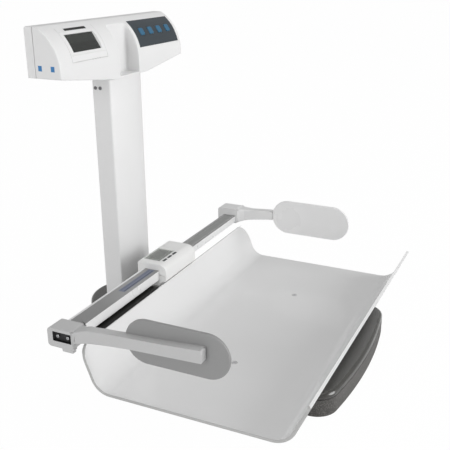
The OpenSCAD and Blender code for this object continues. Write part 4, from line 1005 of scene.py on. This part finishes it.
# %% Tray screws
FLAT_HEAD = 0.0016
low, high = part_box("tray_screws")
radius = (high[1] - low[1]) / 2
flat = screw(radius, FLAT_HEAD, radius * 0.5, high[2] - low[2] - 0.0018, 0.0004)
row_y = (low[1] + high[1]) / 2
tray_spots = [((x, row_y, high[2] - FLAT_HEAD), (0, 0, 1)) for x in (low[0] + radius, high[0] - radius)]
place_screws("tray_screws", flat, FLAT_HEAD, tray_spots)
bpy.data.objects.remove(flat)

# %% [markdown]
# ## The studio floor
# A pale floor carries the scale. It is as white as the paper behind it for the camera, and
# it still takes a soft shadow: for the camera's own rays, nearly all of its colour is a plain
# white glow, and the rest is lit paper.

# %% Floor
FLOOR_GLOW = 0.985


def white_for_camera(tree, lit, share):
    ray = tree.nodes.new("ShaderNodeLightPath")
    glow = tree.nodes.new("ShaderNodeEmission")
    glow.inputs["Color"].default_value = (1, 1, 1, 1)
    glow.inputs["Strength"].default_value = 1
    seen = tree.nodes.new("ShaderNodeMath")
    seen.operation = "MULTIPLY"
    seen.inputs[1].default_value = share
    tree.links.new(ray.outputs["Is Camera Ray"], seen.inputs[0])
    mix = tree.nodes.new("ShaderNodeMixShader")
    tree.links.new(seen.outputs[0], mix.inputs["Fac"])
    tree.links.new(lit, mix.inputs[1])
    tree.links.new(glow.outputs["Emission"], mix.inputs[2])
    return mix.outputs[0]


bpy.ops.object.select_all(action="DESELECT")
bpy.ops.mesh.primitive_plane_add(size=60, location=(0, 0, -0.0002))
floor = bpy.context.object
floor.name = "floor"
paper = bpy.data.materials.new("paper")
paper.use_nodes = True
paper_tree = paper.node_tree
paper_shader = paper_tree.nodes["Principled BSDF"]
paper_shader.inputs["Base Color"].default_value = (0.9, 0.9, 0.9, 1)
paper_shader.inputs["Roughness"].default_value = 0.9
paper_out = white_for_camera(paper_tree, paper_shader.outputs[0], FLOOR_GLOW)
paper_tree.links.new(paper_out, paper_tree.nodes["Material Output"].inputs["Surface"])
floor.data.materials.append(paper)
print("floor ready, glow", FLOOR_GLOW)

# %% [markdown]
# ## The world
# The world fills the shadows with an even, weak light. Where the camera looks straight at it,
# it is plain white instead, so that it joins the floor without a line.

# %% World
FILL_LIGHT = 0.46
world = bpy.data.worlds.new("studio")
bpy.context.scene.world = world
world.use_nodes = True
sky = world.node_tree
fill = sky.nodes["Background"]
fill.inputs["Color"].default_value = (1, 1, 1, 1)
fill.inputs["Strength"].default_value = FILL_LIGHT
white = sky.nodes.new("ShaderNodeBackground")
white.inputs["Color"].default_value = (1, 1, 1, 1)
white.inputs["Strength"].default_value = 1
path = sky.nodes.new("ShaderNodeLightPath")
blend = sky.nodes.new("ShaderNodeMixShader")
sky.links.new(path.outputs["Is Camera Ray"], blend.inputs["Fac"])
sky.links.new(fill.outputs[0], blend.inputs[1])
sky.links.new(white.outputs[0], blend.inputs[2])
sky.links.new(blend.outputs[0], sky.nodes["World Output"].inputs["Surface"])
print("world ready, fill", FILL_LIGHT)

# %% [markdown]
# ## The lamps
# Large round lamps stand far off, so that edges get broad, calm highlights. The key lamp is in
# front and brings out the display and the keys. The side lamp lights what the camera faces, and
# a weak one above lifts the tray's floor.

# %% Lamps
def lamp(name, place, aim, size, power):
    data = bpy.data.lights.new(name, "AREA")
    data.shape = "DISK"
    data.size = size
    data.energy = power
    obj = bpy.data.objects.new(name, data)
    bpy.context.scene.collection.objects.link(obj)
    obj.location = place
    obj.rotation_euler = (Vector(aim) - Vector(place)).to_track_quat("-Z", "Y").to_euler()
    print(name, power, "W")


lamp("key_lamp", (0.5, -3.0, 1.15), (0, 0, 0.3), 2.0, 54)
lamp("top_lamp", (0.2, -0.6, 2.6), (0, 0, 0.2), 1.6, 6)
lamp("side_lamp", (-2.8, 0.2, 0.9), (0, 0.1, 0.3), 1.6, 23)
bpy.context.scene.view_settings.view_transform = "Standard"
